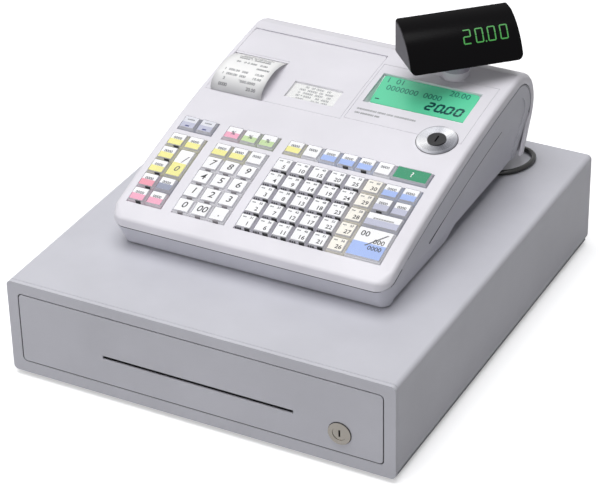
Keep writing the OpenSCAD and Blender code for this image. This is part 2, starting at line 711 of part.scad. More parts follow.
// Upper half of the case, the white shell
module upper_case() color("whitesmoke") difference() {
  union() {
    difference() {
      case_body(0);
      case_body(wall);
      inside_band_prism(band);
      key_window(left_x, 2, rows_s, 5);
      key_window(num_x, 3, rows_s, 5);
      key_window(dept_x, 8, rows_s, 5);
      key_window(left_x, 2, upper_s, 1);
      key_window(num_x, 3, upper_s, 1);
      key_window(dept_x, 8, upper_s, 1);
      // Printer cover with its hinge barrel, display panel and mode switch
      top_cut(cover_x0 - seam, cover_x1 + seam, panel_s - seam, panel_s + cover_len + barrel_d + seam);
      top_cut(panel_x0 - seam, panel_x1 + seam, panel_s + panel_front - seam, panel_s + panel_len + seam);
      mode_hole();
      on_back(bush_x, bush_z) cylinder(d = cord_d + 4.6, h = 20, center = true);
      underside(0);
      box(reg_x - big / 2, reg_x + big / 2, y0, y1, zt - 20, zt + pad_h);
    }
    // Guide tube of the customer display's post
    intersection() {
      translate([reg_x + post_x, post_yy, zt + 62]) cylinder(d = post_d + 2 * guide_t, h = 100);
      on_top(post_x, post_s, -big / 2 - wall / 2) cube([60, 60, big], center = true);
    }
    // Ears that carry the printer cover's hinge pins
    for (x = [cover_x0 - seam - 2, cover_x1 + seam + 2])
      on_top(x, hinge_s, -barrel_d / 2 - 2) cube([4, 9, 6], center = true);
  }
  translate([reg_x + post_x, post_yy, zt]) cylinder(d = post_d + 2 * running, h = 200);
  on_hinge() cylinder(d = hinge_pin_d + 2 * running, h = cover_x1 - cover_x0 + 2 * seam + 7, center = true);
}
// Axis of the printer cover's hinge, along the child's Z
module on_hinge() on_top((cover_x0 + cover_x1) / 2, hinge_s, -barrel_d / 2) rotate([0, 90, 0]) children();

// Outside of the lower case, shrunk by t
module lower_body(t) {
  w = reg_w / 2 - case_inset - t;
  yf = front_y + case_inset + t;
  zk = top_z(front_y) - band;
  hull() {
    for (sx = [-1, 1]) {
      translate([reg_x + sx * (w - corner_r), yf + corner_r, zk]) cylinder(r = corner_r, h = 90, $fn = 32);
      translate([reg_x + sx * (w - 4), rear_c[0] + 36 - t, zt + 64]) cylinder(r = 4, h = 50, $fn = 16);
      translate([reg_x + sx * (w - lean_side - foot_r), yf + lean_front + foot_r, zt + pad_h + t])
        cylinder(r = foot_r, h = 1, $fn = 32);
      translate([reg_x + sx * (w - lean_side - 4), back_foot[0] - band - t, zt + pad_h + t])
        cylinder(r = 4, h = 1, $fn = 16);
    }
  }
}
// Raised underside at the back: the space below it, grown by t
module underside(t) {
  translate([reg_x - big / 2, 0, 0]) rotate([90, 0, 90]) linear_extrude(big)
    polygon([[y0 + lift_y - t, zt - 20], [y0 + lift_y - t, zt + pad_h + t / 2],
      [y0 + lift_y + lift_h - t / 2, zt + lift_h + t], [y1 + 20, zt + lift_h + t], [y1 + 20, zt - 20]]);
}
module lower_case() color("darkgray") {
  difference() {
    intersection() {
      lower_body(0);
      inside_band_prism(band + parting);
    }
    // The sides step in below a line that follows the top
    difference() {
      inside_band_prism(step_band);
      lower_body(side_step);
      box(-big / 2, big / 2, front_y - 1, front_y + 26, zt - 20, zt + big);
      box(reg_x - reg_w / 2 + 12, reg_x + reg_w / 2 - 12, front_y, y1, zt - 20, zt + big);
    }
    difference() {
      lower_body(wall + side_step);
      underside(wall);
    }
    underside(0);
  }
  // Pads and board posts
  for (sx = [-1, 1], y = [front_y + 40, y0 + lift_y - 20])
    translate([reg_x + sx * 110, y, zt]) cylinder(d = 14, h = pad_h + 1);
  for (sx = [-1, 1])
    translate([reg_x + sx * 100, back_foot[0] - 28, zt]) cylinder(d = 12, h = lift_h + 0.5);
  for (sx = [-1, 1], y = [board_y + 8, board_y + board_l - 8])
    translate([reg_x + sx * (board_w / 2 - 8), y, zt + pad_h + wall - 0.5])
      cylinder(d = 6, h = board_z - zt - pad_h - wall + 0.5);
}

// ---------- Keys ----------
// Block with a rectangular foot w x l whose four sides lean in by t up to its top
module frustum(w, l, h, t) {
  foot = [[-w / 2, -l / 2, 0], [w / 2, -l / 2, 0], [w / 2, l / 2, 0], [-w / 2, l / 2, 0]];
  top = [for (p = foot) [p[0] - sign(p[0]) * t, p[1] - sign(p[1]) * t, h]];
  sides = [[1, 0, 4, 5], [2, 1, 5, 6], [3, 2, 6, 7], [0, 3, 7, 4]];
  polyhedron(concat(foot, top), concat([[0, 1, 2, 3], [7, 6, 5, 4]], sides));
}
// One key covering cols x rows of the grid: tapered skirt and guide stem
module key(x, s, cols = 1, rows = 1) {
  w = cols * pitch_x - key_gap;
  l = rows * pitch_s - key_gap;
  h = key_rise + key_sink;
  on_top(x, s, -key_sink) {
    frustum(w, l, h, key_taper);
    translate([0, 0, key_sink - bed_depth - bed_t - key_travel])
      cylinder(d = stem_d, h = bed_depth + bed_t + 1);
  }
}
module number_key(i, j) color("white") key(col_x(num_x, 3, i), row_s(j));

module key_0() number_key(0, 0);
module key_00() number_key(1, 0);
module key_point() number_key(2, 0);
module key_1() number_key(0, 1);
module key_2() number_key(1, 1);
module key_3() number_key(2, 1);
module key_4() number_key(0, 2);
module key_5() number_key(1, 2);
module key_6() number_key(2, 2);
module key_7() number_key(0, 3);
module key_8() number_key(1, 3);
module key_9() number_key(2, 3);

module key_cash() color("lightblue") key(col_x(dept_x, 8, 6.5), row_s(0.5), 2, 2);
module feed_keys() color("lightgray") for (i = [0, 1]) key(col_x(left_x, 2, i), upper_s);
module left_keys() color("khaki") {
  for (j = [0 : 4]) key(col_x(left_x, 2, 0), row_s(j));
  for (j = [0, 1, 4]) key(col_x(left_x, 2, 1), row_s(j));
  key(col_x(left_x, 2, 1), row_s(2.5), 1, 2);
}
module function_keys() color("pink") {
  for (i = [0 : 2]) key(col_x(num_x, 3, i), upper_s);
  for (i = [0 : 2]) key(col_x(num_x, 3, i), row_s(4));
}
module transaction_keys() color("lightgreen") {
  for (i = [0 : 5]) key(col_x(dept_x, 8, i), upper_s);
  key(col_x(dept_x, 8, 6.5), upper_s, 2, 1);
  for (i = [6, 7], j = [3, 4]) key(col_x(dept_x, 8, i), row_s(j));
  key(col_x(dept_x, 8, 6.5), row_s(2), 2, 1);
}
module dept_row(j) color("white") for (i = [0 : 5]) key(col_x(dept_x, 8, i), row_s(j));
module dept_row_1() dept_row(0);
module dept_row_2() dept_row(1);
module dept_row_3() dept_row(2);
module dept_row_4() dept_row(3);
module dept_row_5() dept_row(4);

// Curved plate under the keys, bored for every stem
module stem_hole(x, s) on_top(x, s, -bed_depth - 10) cylinder(d = stem_d + 2 * stem_gap, h = 20);
module key_plate() color("seagreen") {
  ya = on_top_y(rows_s - 2.5 * pitch_s - 4);
  yb = on_top_y(upper_s + pitch_s / 2 + 4);
  difference() {
    translate([reg_x + left_x - pitch_x - 4, 0, 0]) rotate([90, 0, 90])
      linear_extrude(dept_x + 4 * pitch_x - left_x + pitch_x + 8)
        intersection() {
          difference() {
            translate([crest, top_z0]) circle(top_r - bed_depth, $fn = 180);
            translate([crest, top_z0]) circle(top_r - bed_depth - bed_t, $fn = 180);
          }
          translate([ya, zt]) square([yb - ya, 150]);
        }
    for (i = [0 : 2], j = [0 : 4]) stem_hole(col_x(num_x, 3, i), row_s(j));
    for (i = [0 : 2]) stem_hole(col_x(num_x, 3, i), upper_s);
    for (i = [0, 1]) stem_hole(col_x(left_x, 2, i), upper_s);
    for (j = [0 : 4]) stem_hole(col_x(left_x, 2, 0), row_s(j));
    for (j = [0, 1, 2.5, 4]) stem_hole(col_x(left_x, 2, 1), row_s(j));
    for (i = [0 : 5], j = [0 : 4]) stem_hole(col_x(dept_x, 8, i), row_s(j));
    for (i = [0, 1, 2, 3, 4, 5, 6.5]) stem_hole(col_x(dept_x, 8, i), upper_s);
    for (i = [6, 7], j = [3, 4]) stem_hole(col_x(dept_x, 8, i), row_s(j));
    stem_hole(col_x(dept_x, 8, 6.5), row_s(2));
    stem_hole(col_x(dept_x, 8, 6.5), row_s(0.5));
  }
  // Bosses up to the inside of the upper case between the key blocks
  for (x = [(left_x + num_x - pitch_x / 2) / 2, (num_x + dept_x - 2.5 * pitch_x) / 2], ds = [-40, 40])
    on_top(x, rows_s + ds, -bed_depth - 0.2) cylinder(d = stem_d, h = bed_depth - wall - 0.1);
}

// ---------- Top panels ----------
// Plate cut out of the case's skin
module skin(x0, x1, s0, s1) intersection() {
  difference() {
    case_body(0);
    case_body(wall);
  }
  top_cut(x0, x1, s0, s1);
}
module printer_cover() color("white") {
  difference() {
    skin(cover_x0, cover_x1, panel_s, cover_s1 + 0.5);
    top_cut(paper_x - paper_w / 2 - 1.5, paper_x + paper_w / 2 + 1.5, paper_s - 2.5, paper_s + 2.5);
    top_cut(journal_x - journal_w / 2, journal_x + journal_w / 2,
      journal_s - journal_l / 2, journal_s + journal_l / 2);
    on_top(0, cover_s1 + 5, 0) cube([big, 10, 20], center = true);
  }
  // Hinge barrel along the back edge with a pin at each end
  on_hinge() {
    cylinder(d = barrel_d, h = cover_x1 - cover_x0 - 1, center = true);
    cylinder(d = hinge_pin_d, h = cover_x1 - cover_x0 + 6, center = true);
  }
  on_top((cover_x0 + cover_x1) / 2, cover_s1, -1.1) cube([cover_x1 - cover_x0 - 1, 3, 1.8], center = true);
}
module journal_window() color([0.8, 0.9, 0.9, 0.5])
  on_top(journal_x, journal_s, -wall / 2 - 0.1)
    cube([journal_w - 0.6, journal_l - 0.6, wall - 0.8], center = true);

// Hole of the mode switch, across the front edge of the display panel
module mode_hole() on_top(mode_x, mode_s, -10) cylinder(d = mode_plug_d + 5, h = 20);
module display_panel() color("white") difference() {
  skin(panel_x0, panel_x1, panel_s + panel_front, panel_s + panel_len);
  mode_hole();
  translate([reg_x + post_x, post_yy, zt]) cylinder(d = post_d + 2 * guide_t + 2 * seam, h = 200);
  top_cut(lcd_x - lcd_w / 2, lcd_x + lcd_w / 2, lcd_s - lcd_l / 2, lcd_s + lcd_l / 2);
}
// Display module in its black tub, lying steeper than the case
module clerk_display() color("mediumseagreen")
  on_top(lcd_x, lcd_s + lcd_l / 2, -wall - 0.6) rotate([lcd_tilt, 0, 0])
    translate([-lcd_w / 2 - 4, -lcd_l - 6, -6]) cube([lcd_w + 8, lcd_l + 8, 6]);

// ---------- Mode switch ----------
module mode_ring() color("silver") on_top(mode_x, mode_s) difference() {
  union() {
    translate([0, 0, 0.3]) cylinder(d1 = mode_ring_d, d2 = mode_ring_d - 1.6, h = ring_rise);
    translate([0, 0, -22]) cylinder(d = mode_plug_d + 4, h = 23);
  }
  // Shallow dish
  translate([0, 0, ring_rise - 0.7])
    cylinder(d1 = mode_plug_d + 3, d2 = mode_ring_d - 1, h = 1.2);
  translate([0, 0, -30]) cylinder(d = mode_plug_d + 2 * running, h = 50);
}
module mode_plug() color([0.1, 0.1, 0.1]) on_top(mode_x, mode_s) difference() {
  translate([0, 0, -20]) cylinder(d = mode_plug_d, h = 20 + ring_rise + 0.5);
  translate([0, 0, 2]) cube([1.6, 9, 6], center = true);
}

// ---------- Printer ----------
module printer_frame() color("gray") {
  xa = frame_x0 - frame_t;
  xb = frame_x1 + frame_t;
  ya = platen_y - 14;
  head_y = platen_y + platen_d / 2 + 1.5;
  difference() {
    union() {
      box(frame_x0 + 2.5, xb, reel_y - 26, roll_y + 18, frame_z, frame_z + 2);
      // Left plate, stepped in where it stands on the base in front of the roll
      box(xa, frame_x0, ya, roll_y + 10, step_z, platen_z + 9);
      box(xa, frame_x0 + 4, ya, roll_y - roll_d / 2 - 1, step_z, step_z + frame_t);
      box(frame_x0 + 4 - frame_t, frame_x0 + 4, ya, roll_y - roll_d / 2 - 1, frame_z, step_z + frame_t);
      // Right plate
      box(frame_x1, xb, reel_y - 26, roll_y + 18, frame_z, reel_z + 10);
      box(frame_x1, xb, ya, roll_y + 18, frame_z, platen_z + 9);
      // Inner bracket of the take-up reel
      box(reel_x - frame_t, reel_x, reel_y - 10, reel_y + 10, frame_z, reel_z + 8);
      // Print heads' bar behind the platen, and the motor
      box(frame_x0 - 0.5, frame_x1 + 0.5, head_y, head_y + 2.5, platen_z - 6, platen_z + 8);
      rod_x(frame_x1 - 26, frame_x1 + 0.5, platen_y - 22, frame_z + 14, 20);
    }
    rod_x(xa - 5, xb + 5, platen_y, platen_z, shaft_d + 2 * running);
    rod_x(reel_x - 5, xb + 5, reel_y, reel_z, shaft_d + 2 * running);
  }
  // Spindle that carries both rolls
  rod_x(xa, xb, roll_y, roll_z, spindle_d);
}
module platen_roller() color([0.15, 0.15, 0.15]) {
  rod_x(frame_x0 + 1, frame_x1 - 1, platen_y, platen_z, platen_d);
  rod_x(frame_x0 - frame_t - 1, frame_x1 + frame_t + 1, platen_y, platen_z, shaft_d);
}
module roll(x, d) difference() {
  rod_x(x - paper_w / 2 + 0.5, x + paper_w / 2 - 0.5, roll_y, roll_z, d);
  rod_x(x - paper_w, x + paper_w, roll_y, roll_z, spindle_d + 2 * running);
}
module receipt_roll() color("white") roll(reg_x + paper_x, roll_d);
module journal_roll() color("white") roll(reg_x + journal_x, roll_d - 6);
module journal_reel() color([0.2, 0.2, 0.2]) {
  xa = reel_x + 3;
  xb = frame_x1 - 3;
  rod_x(reel_x - frame_t - 1, frame_x1 + frame_t + 1, reel_y, reel_z, shaft_d);
  rod_x(xa, xb, reel_y, reel_z, reel_d / 2);
  for (x = [xa, xb - 1]) rod_x(x, x + 1, reel_y, reel_z, reel_d);
}
// Paper up through the slot and forward over the cover
function paper_point(i) =
  let (k = i / 12, s = paper_s - 0.2 - paper_out * k, up = paper_rise * sin(180 * pow(k, 1.15)) + 0.6)
  [on_top_y(s, up), on_top_z(s, up)];
paper_path = concat([[on_top_y(paper_s, -6), on_top_z(paper_s, -6)]], [for (i = [0 : 12]) paper_point(i)]);
// Offset to the paper's face at point i of its path
function paper_side(i) =
  let (a = paper_path[max(i - 1, 0)], b = paper_path[min(i + 1, 13)], d = (b - a) / norm(b - a))
  [-d[1], d[0]] * paper_t / 2;
module receipt_paper() color("white")
  translate([reg_x + paper_x - paper_w / 2, 0, 0]) rotate([90, 0, 90]) linear_extrude(paper_w)
    polygon(concat([for (i = [0 : 13]) paper_path[i] + paper_side(i)],
      [for (i = [13 : -1 : 0]) paper_path[i] - paper_side(i)]));

// ---------- Electrics ----------
module main_board() color("darkgreen") {
  box(reg_x - board_w / 2, reg_x + board_w / 2, board_y, board_y + board_l, board_z + 0.1, board_z + 1.7);
  for (i = [0 : 3])
    box(reg_x - 80 + i * 45, reg_x - 56 + i * 45, board_y + 30, board_y + 54, board_z + 1.6, board_z + 4);
  for (x = [-90, -60, 70]) translate([reg_x + x, board_y + 90, board_z + 1.6]) cylinder(d = 9, h = 12);
}
module transformer() color("dimgray") translate([reg_x + 80, front_y + 190, frame_z]) {
  box(-28, 28, -22, 22, 0, 44);
  box(-18, 18, -32, 32, 9, 35);
  for (sx = [-1, 1]) box(sx * 36 - 9, sx * 36 + 9, -8, 8, 0, 2);
}

// ---------- Customer display ----------
module display_post() color("lightgray") translate([reg_x + post_x, post_yy, 0]) {
  translate([0, 0, zt + 60]) cylinder(d = post_d, h = head_z - 1 - zt - 60);
  translate([0, 0, head_z - 2]) cylinder(d = spigot_d, h = 10);
}
module turned() translate([reg_x + post_x, post_yy, 0]) rotate([0, 0, head_turn]) children();
// Section of the head in its own side view, its flat sides inset by t: front is the face of radius r
module head_section(t, r) intersection() {
  translate([arc_f, arc_z]) circle(r);
  polygon([[-15 + t, head_z + 5 + t], [-15 + t, head_z + 60], [60, head_z + 60], [60, head_z + t],
    [-8 + t, head_z + t]]);
}
module head_prism(w, t, r, cut = 0) rotate([90, 0, -90])
  translate([0, 0, -w / 2]) linear_extrude(w) difference() {
    head_section(t, r);
    if (cut > 0) translate([arc_f, arc_z]) circle(r - cut);
  }
// Rounded outline of the head seen from its front
module head_outline() rotate([90, 0, 0]) linear_extrude(4 * head_r, center = true) hull() {
  for (sx = [-1, 1]) {
    translate([sx * (head_w / 2 - head_corner), head_z + head_corner]) circle(head_corner, $fn = 32);
    translate([sx * (head_w / 2 - 3), arc_z + head_r - 3]) circle(3, $fn = 24);
  }
}
module display_head() color("dimgray") turned() difference() {
  intersection() {
    head_prism(head_w, 0, head_r - window_t - 0.15);
    head_outline();
  }
  head_prism(head_w - 5, 2.5, head_r);
  translate([0, 0, head_z - 5]) cylinder(d = spigot_d + 2 * running, h = 13);
}
module display_window() color([0.05, 0.05, 0.06]) turned() intersection() {
  head_prism(head_w, 0, head_r, window_t);
  head_outline();
}

// ---------- Fasteners ----------
// Screws that hold the back wall to the side walls' flanges
module screws() color("silver") at_screws() {
  rod_y(0, back_y - 4, y1 + 0.5, 0, screw_d);
  rod_y(0, y1, y1 + screw_head, 0, 2 * screw_d);
}

cabinet_shell();
cabinet_base();
cabinet_front();
slide_cages();
latch_solenoid();
solenoid_plunger();
latch_hook();
eject_spring();
rubber_feet();
cable_bushes();
drawer_cable();
drawer_front();
drawer_box();
cash_tray();
note_clips();
lock_barrel();
lock_plug();
lower_case();
upper_case();
key_plate();
printer_cover();
journal_window();
display_panel();
clerk_display();
mode_ring();
mode_plug();
printer_frame();
platen_roller();
receipt_roll();
journal_roll();
journal_reel();
receipt_paper();
main_board();
transformer();
display_post();
display_head();
display_window();
screws();
key_0();
key_1();
key_2();
key_3();
key_4();
key_5();
key_6();
key_7();
key_8();
key_9();
key_00();
key_point();
key_cash();
feed_keys();
left_keys();
function_keys();
transaction_keys();
dept_row_1();
dept_row_2();
dept_row_3();
dept_row_4();
dept_row_5();
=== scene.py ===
import math

import bmesh
import bpy
from mathutils import Matrix, Vector


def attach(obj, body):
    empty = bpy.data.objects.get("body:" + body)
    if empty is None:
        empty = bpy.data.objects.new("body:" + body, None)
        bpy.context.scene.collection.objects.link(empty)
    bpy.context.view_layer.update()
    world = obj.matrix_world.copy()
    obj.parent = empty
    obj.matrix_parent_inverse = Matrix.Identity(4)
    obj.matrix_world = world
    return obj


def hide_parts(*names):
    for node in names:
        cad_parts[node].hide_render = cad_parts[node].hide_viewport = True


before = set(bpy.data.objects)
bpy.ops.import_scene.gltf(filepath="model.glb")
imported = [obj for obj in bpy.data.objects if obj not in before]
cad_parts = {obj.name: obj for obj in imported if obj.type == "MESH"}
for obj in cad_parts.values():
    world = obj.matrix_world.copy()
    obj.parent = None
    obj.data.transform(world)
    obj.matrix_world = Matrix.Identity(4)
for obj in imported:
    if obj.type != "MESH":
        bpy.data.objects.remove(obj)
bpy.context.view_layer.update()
scene = bpy.context.scene
scene.view_settings.view_transform = "Standard"

# ---------- Camera ----------
# A long lens stands off the right-hand front corner, at standing eye height, and looks down on the keys.
lens = bpy.data.cameras.new("camera")
lens.lens = 143.92
lens.sensor_width = 36
camera = bpy.data.objects.new("camera", lens)
camera.matrix_world = Matrix((
    (0.886371, -0.226760, 0.403641, 0.95375),
    (0.462601, 0.468842, -0.752454, -1.80081),
    (-0.018617, 0.853678, 0.520468, 1.31495),
    (0, 0, 0, 1)))
scene.collection.objects.link(camera)
scene.camera = camera


# ---------- Drawer cable ----------
# A black PVC-sheathed flex runs from a bush in the back of the case, round in a loose loop on the
# cabinet, and under the case to a bush in the cabinet's top.
def colour(code):
    """sRGB hex to the linear colour that a shader takes."""
    parts = [int(code[i:i + 2], 16) / 255 for i in (1, 3, 5)]
    return [p / 12.92 if p <= 0.04045 else ((p + 0.055) / 1.055) ** 2.4 for p in parts] + [1]


def add(material, kind, sockets, **settings):
    """Adds one node: settings are its properties, sockets its input values or the outputs that feed them."""
    tree = material.node_tree
    item = tree.nodes.new("ShaderNode" + kind)
    for name, value in settings.items():
        setattr(item, name, value)
    for name, value in sockets.items():
        if isinstance(value, bpy.types.NodeSocket):
            tree.links.new(value, item.inputs[name])
        else:
            item.inputs[name].default_value = value
    return item


def new_material(name):
    """An empty node material with its output node."""
    material = bpy.data.materials.new(name)
    material.use_nodes = True
    material.node_tree.nodes.clear()
    return material, material.node_tree.nodes.new("ShaderNodeOutputMaterial")


def moulded(name, code, rough=0.45, grain=0.5, depth=0.02, **extra):
    """Moulded or coated finish: a fine grain of that many millimetres, and a slow drift of its colour and gloss."""
    material, out = new_material(name)
    place = add(material, "TexCoord", {}).outputs["Object"]
    fine = add(material, "TexNoise", {"Vector": place, "Scale": 1000 / grain, "Detail": 2, "Roughness": 0.6})
    slow = add(material, "TexNoise", {"Vector": place, "Scale": 14, "Detail": 3, "Roughness": 0.55})
    tint = colour(code)
    ramp = add(material, "ValToRGB", {"Fac": slow.outputs["Fac"]})
    ramp.color_ramp.elements[0].position = 0.3
    ramp.color_ramp.elements[0].color = [c * 0.955 for c in tint[:3]] + [1]
    ramp.color_ramp.elements[1].position = 0.7
    ramp.color_ramp.elements[1].color = [min(c * 1.03, 1) for c in tint[:3]] + [1]
    gloss = add(material, "MapRange", {"Value": fine.outputs["Fac"], "To Min": rough - 0.06, "To Max": rough + 0.06})
    bump = add(material, "Bump", {"Height": fine.outputs["Fac"], "Strength": 0.5, "Distance": depth / 1000})
    sockets = {"Base Color": ramp.outputs["Color"], "Roughness": gloss.outputs["Result"],
               "Normal": bump.outputs["Normal"], "IOR": 1.5}
    sockets.update(extra)
    skin = add(material, "BsdfPrincipled", sockets)
    material.node_tree.links.new(skin.outputs["BSDF"], out.inputs["Surface"])
    return material


# Soft black PVC with a satin, slightly ribbed skin: the grain is drawn at 0.8 mm so that it shows.
pvc_sheath = moulded("black_pvc_sheath", "#0B0B0C", rough=0.24, grain=0.8, depth=0.05)
route = [(100, 194.977, 128.183), (100, 199.5, 125.5), (101.5, 205.5, 120.5), (105, 210, 115),
         (111, 212.5, 110.8), (119.5, 213, 109.05), (130, 212, 109.05), (140.5, 210, 109.05),
         (149, 206, 109.05), (155, 198, 109.05), (156.5, 188, 109.05), (155, 178, 109.05),
         (151, 168, 109.05), (144, 159, 109.05), (134, 152, 109.05), (122, 147, 109.05),
         (110, 142, 109.05), (100, 137.4, 109.05), (91, 133.8, 109.05), (81.5, 130.5, 109.35),
         (74, 127.9, 110.65), (66.4, 125.2, 113.05), (58.9, 122.6, 115.65), (51.3, 120, 116.85),
         (48, 118.8, 116.45), (44.45, 117.55, 114.75), (41.66, 116.58, 111.75), (40, 116, 108)]
cable_points = [Vector(p) / 1000 for p in route]
curve = bpy.data.curves.new("drawer_cable_flex", "CURVE")
curve.dimensions = "3D"
spline = curve.splines.new("BEZIER")
spline.bezier_points.add(len(cable_points) - 1)
for knot, point in zip(spline.bezier_points, cable_points):
    knot.co = point
    knot.handle_left_type = knot.handle_right_type = "AUTO"
curve.bevel_depth = 0.00275
curve.bevel_resolution = 5
curve.resolution_u = 6
curve.use_fill_caps = True
curve.materials.append(pvc_sheath)
cable = bpy.data.objects.new("drawer_cable_flex", curve)
scene.collection.objects.link(cable)
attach(cable, "housing")
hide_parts("drawer_cable")

# ---------- Floor and lights ----------
# A matt white table under two wide soft lamps, one overhead and one in front, with a plain bright room
# around it.
bpy.ops.object.select_all(action="DESELECT")
bpy.ops.mesh.primitive_plane_add(size=9, location=(0, 1, 0))
floor = bpy.context.object
floor.name = "floor"
table, out = new_material("matt_white_table")
seen = add(table, "LightPath", {})
both = add(table, "Math", {0: seen.outputs["Is Camera Ray"], 1: seen.outputs["Is Glossy Ray"]}, operation="MAXIMUM")
shown = add(table, "Math", {0: both.outputs[0], 1: seen.outputs["Is Transmission Ray"]}, operation="MAXIMUM")
mottle = add(table, "TexNoise", {"Vector": add(table, "TexCoord", {}).outputs["Object"], "Scale": 3, "Detail": 2})
pale = add(table, "Mix", {0: mottle.outputs["Fac"], 6: colour("#FDFDFE"), 7: colour("#FAFAFC")}, data_type="RGBA")
tone = add(table, "Mix", {0: shown.outputs[0], 6: colour("#A8A8AA"), 7: pale.outputs[2]}, data_type="RGBA")
matt = add(table, "BsdfDiffuse", {"Color": tone.outputs[2]})
lift = add(table, "Math", {0: seen.outputs["Is Camera Ray"], 1: 0.4}, operation="MULTIPLY")
haze = add(table, "Emission", {"Color": (1, 1, 1, 1), "Strength": lift.outputs[0]})
lit = add(table, "AddShader", {0: matt.outputs[0], 1: haze.outputs[0]})
table.node_tree.links.new(lit.outputs[0], out.inputs["Surface"])
floor.data.materials.append(table)

LAMP_REACH = 3.2
for name, size, energy, way in (("overhead_lamp", 2.8, 80, (-0.03, -0.10, 1)),
                                ("front_lamp", 3, 29, (-0.3, -0.95, 0.42))):
    lamp = bpy.data.lights.new(name, "AREA")
    lamp.shape = "DISK"
    lamp.size = size
    lamp.energy = energy
    holder = bpy.data.objects.new(name, lamp)
    way = Vector(way).normalized()
    holder.matrix_world = Matrix.Translation(way * LAMP_REACH) @ way.to_track_quat("Z", "Y").to_matrix().to_4x4()
    scene.collection.objects.link(holder)

room = bpy.data.worlds.new("room")
scene.world = room
room.use_nodes = True
room.node_tree.nodes.clear()
room_out = room.node_tree.nodes.new("ShaderNodeOutputWorld")
seen = add(room, "LightPath", {})
both = add(room, "Math", {0: seen.outputs["Is Camera Ray"], 1: seen.outputs["Is Glossy Ray"]}, operation="MAXIMUM")
shown = add(room, "Math", {0: both.outputs[0], 1: seen.outputs["Is Transmission Ray"]}, operation="MAXIMUM")
dim = add(room, "Background", {"Color": (1, 1, 1, 1), "Strength": 0.2})
white = add(room, "Background", {"Color": (1, 1, 1, 1), "Strength": 1})
mixed = add(room, "MixShader", {0: shown.outputs[0], 1: dim.outputs[0], 2: white.outputs[0]})
room.node_tree.links.new(mixed.outputs[0], room_out.inputs["Surface"])

# ---------- Cabinet ----------
# Folded sheet steel, about 1.2 mm, powder-coated light grey: a wrap of top and sides, a front frame,
# and a pan with the back wall, held together at the back by four screws.
def finish(material, *names):
    """Gives CAD parts their material."""
    for name in names:
        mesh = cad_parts[name].data
        mesh.materials.clear()
        mesh.materials.append(material)


# Powder coat: an eggshell gloss with the fine orange peel that the powder leaves, about 0.9 mm across.
powder_coat = moulded("powder_coated_steel", "#C9C9D1", rough=0.4, grain=0.9, depth=0.03)
finish(powder_coat, "cabinet_shell", "cabinet_front", "drawer_front")


def metal(name, code, rough=0.3, streak=(1, 1, 1), size=0.6, depth=0.01):
    """Bare or plated metal: a grain of that size in millimetres, drawn out along the axes with a small factor."""
    material, out = new_material(name)
    place = add(material, "TexCoord", {}).outputs["Object"]
    turned = add(material, "Mapping", {"Vector": place, "Scale": streak})
    grain = add(material, "TexNoise", {"Vector": turned.outputs[0], "Scale": 1000 / size, "Detail": 3})
    cloud = add(material, "TexNoise", {"Vector": place, "Scale": 60, "Detail": 2})
    tint = colour(code)
    ramp = add(material, "ValToRGB", {"Fac": cloud.outputs["Fac"]})
    ramp.color_ramp.elements[0].color = [c * 0.86 for c in tint[:3]] + [1]
    ramp.color_ramp.elements[1].color = tint
    gloss = add(material, "MapRange", {"Value": grain.outputs["Fac"], "To Min": rough * 0.7, "To Max": rough * 1.3})
    bump = add(material, "Bump", {"Height": grain.outputs["Fac"], "Strength": 0.4, "Distance": depth / 1000})
    skin = add(material, "BsdfPrincipled", {"Base Color": ramp.outputs["Color"], "Metallic": 1,
                                            "Roughness": gloss.outputs["Result"], "Normal": bump.outputs["Normal"]})
    material.node_tree.links.new(skin.outputs["BSDF"], out.inputs["Surface"])
    return material


# Galvanised sheet: a dull zinc grey with spangles, drawn at 6 mm.
galvanised = metal("galvanised_steel", "#AEB1B4", rough=0.42, size=6, depth=0.02)
finish(galvanised, "cabinet_base", "drawer_box", "printer_frame")
# Zinc-plated screws and hook, with a faint turned grain.
zinc_plate = metal("zinc_plated_steel", "#C3C5C8", rough=0.3, size=0.5)
finish(zinc_plate, "screws", "solenoid_plunger", "slide_cages")
# Yellow-passivated zinc on the pressed hook.
passivated = metal("yellow_passivated_zinc", "#C8B078", rough=0.35, size=1.5)
finish(passivated, "latch_hook")
# Bright spring wire.
spring_wire = metal("spring_steel_wire", "#9C9DA0", rough=0.25, size=0.4)
finish(spring_wire, "eject_spring")
# Coil wrapped in dark tape between steel cheeks.
coil_tape = moulded("varnished_coil_tape", "#2A2B30", rough=0.35, grain=1.4, depth=0.06)
finish(coil_tape, "latch_solenoid", "transformer")
# Soft matt rubber, with dust in its pores.
rubber = moulded("nitrile_rubber", "#1B1B1C", rough=0.75, grain=0.7, depth=0.08)
finish(rubber, "rubber_feet", "cable_bushes", "platen_roller")

# ---------- Drawer ----------
# A steel drawer with a moulded cash tray, sprung chrome note clips and a cam lock in the face.
tray_abs = moulded("black_tray_abs", "#202226", rough=0.5, grain=0.9, depth=0.05)
finish(tray_abs, "cash_tray", "journal_reel")
# Bright chrome wire and pressings.
chrome = metal("chromed_steel", "#D9DADD", rough=0.12, size=0.8, depth=0.004)
finish(chrome, "note_clips")
# Nickel-plated brass: warmer and softer than chrome.
nickel = metal("nickel_plated_brass", "#A19C94", rough=0.22, size=0.5, depth=0.006)
finish(nickel, "lock_barrel", "lock_plug")

# ---------- Case ----------
# Two ABS mouldings: a white upper half with the sloping top, and a grey lower half on legs.
# Textured white ABS with a cool cast, spark-eroded grain drawn at 0.6 mm.
white_abs = moulded("textured_white_abs", "#E1DFE6", rough=0.42, grain=0.6, depth=0.02)
grey_abs = moulded("textured_grey_abs", "#C8C8D0", rough=0.5, grain=0.6, depth=0.03)
finish(white_abs, "upper_case", "printer_cover", "display_panel")
finish(grey_abs, "lower_case")
dark_abs = moulded("grey_key_bed_abs", "#A4A4AC", rough=0.55, grain=0.6, depth=0.03)
finish(dark_abs, "key_plate")
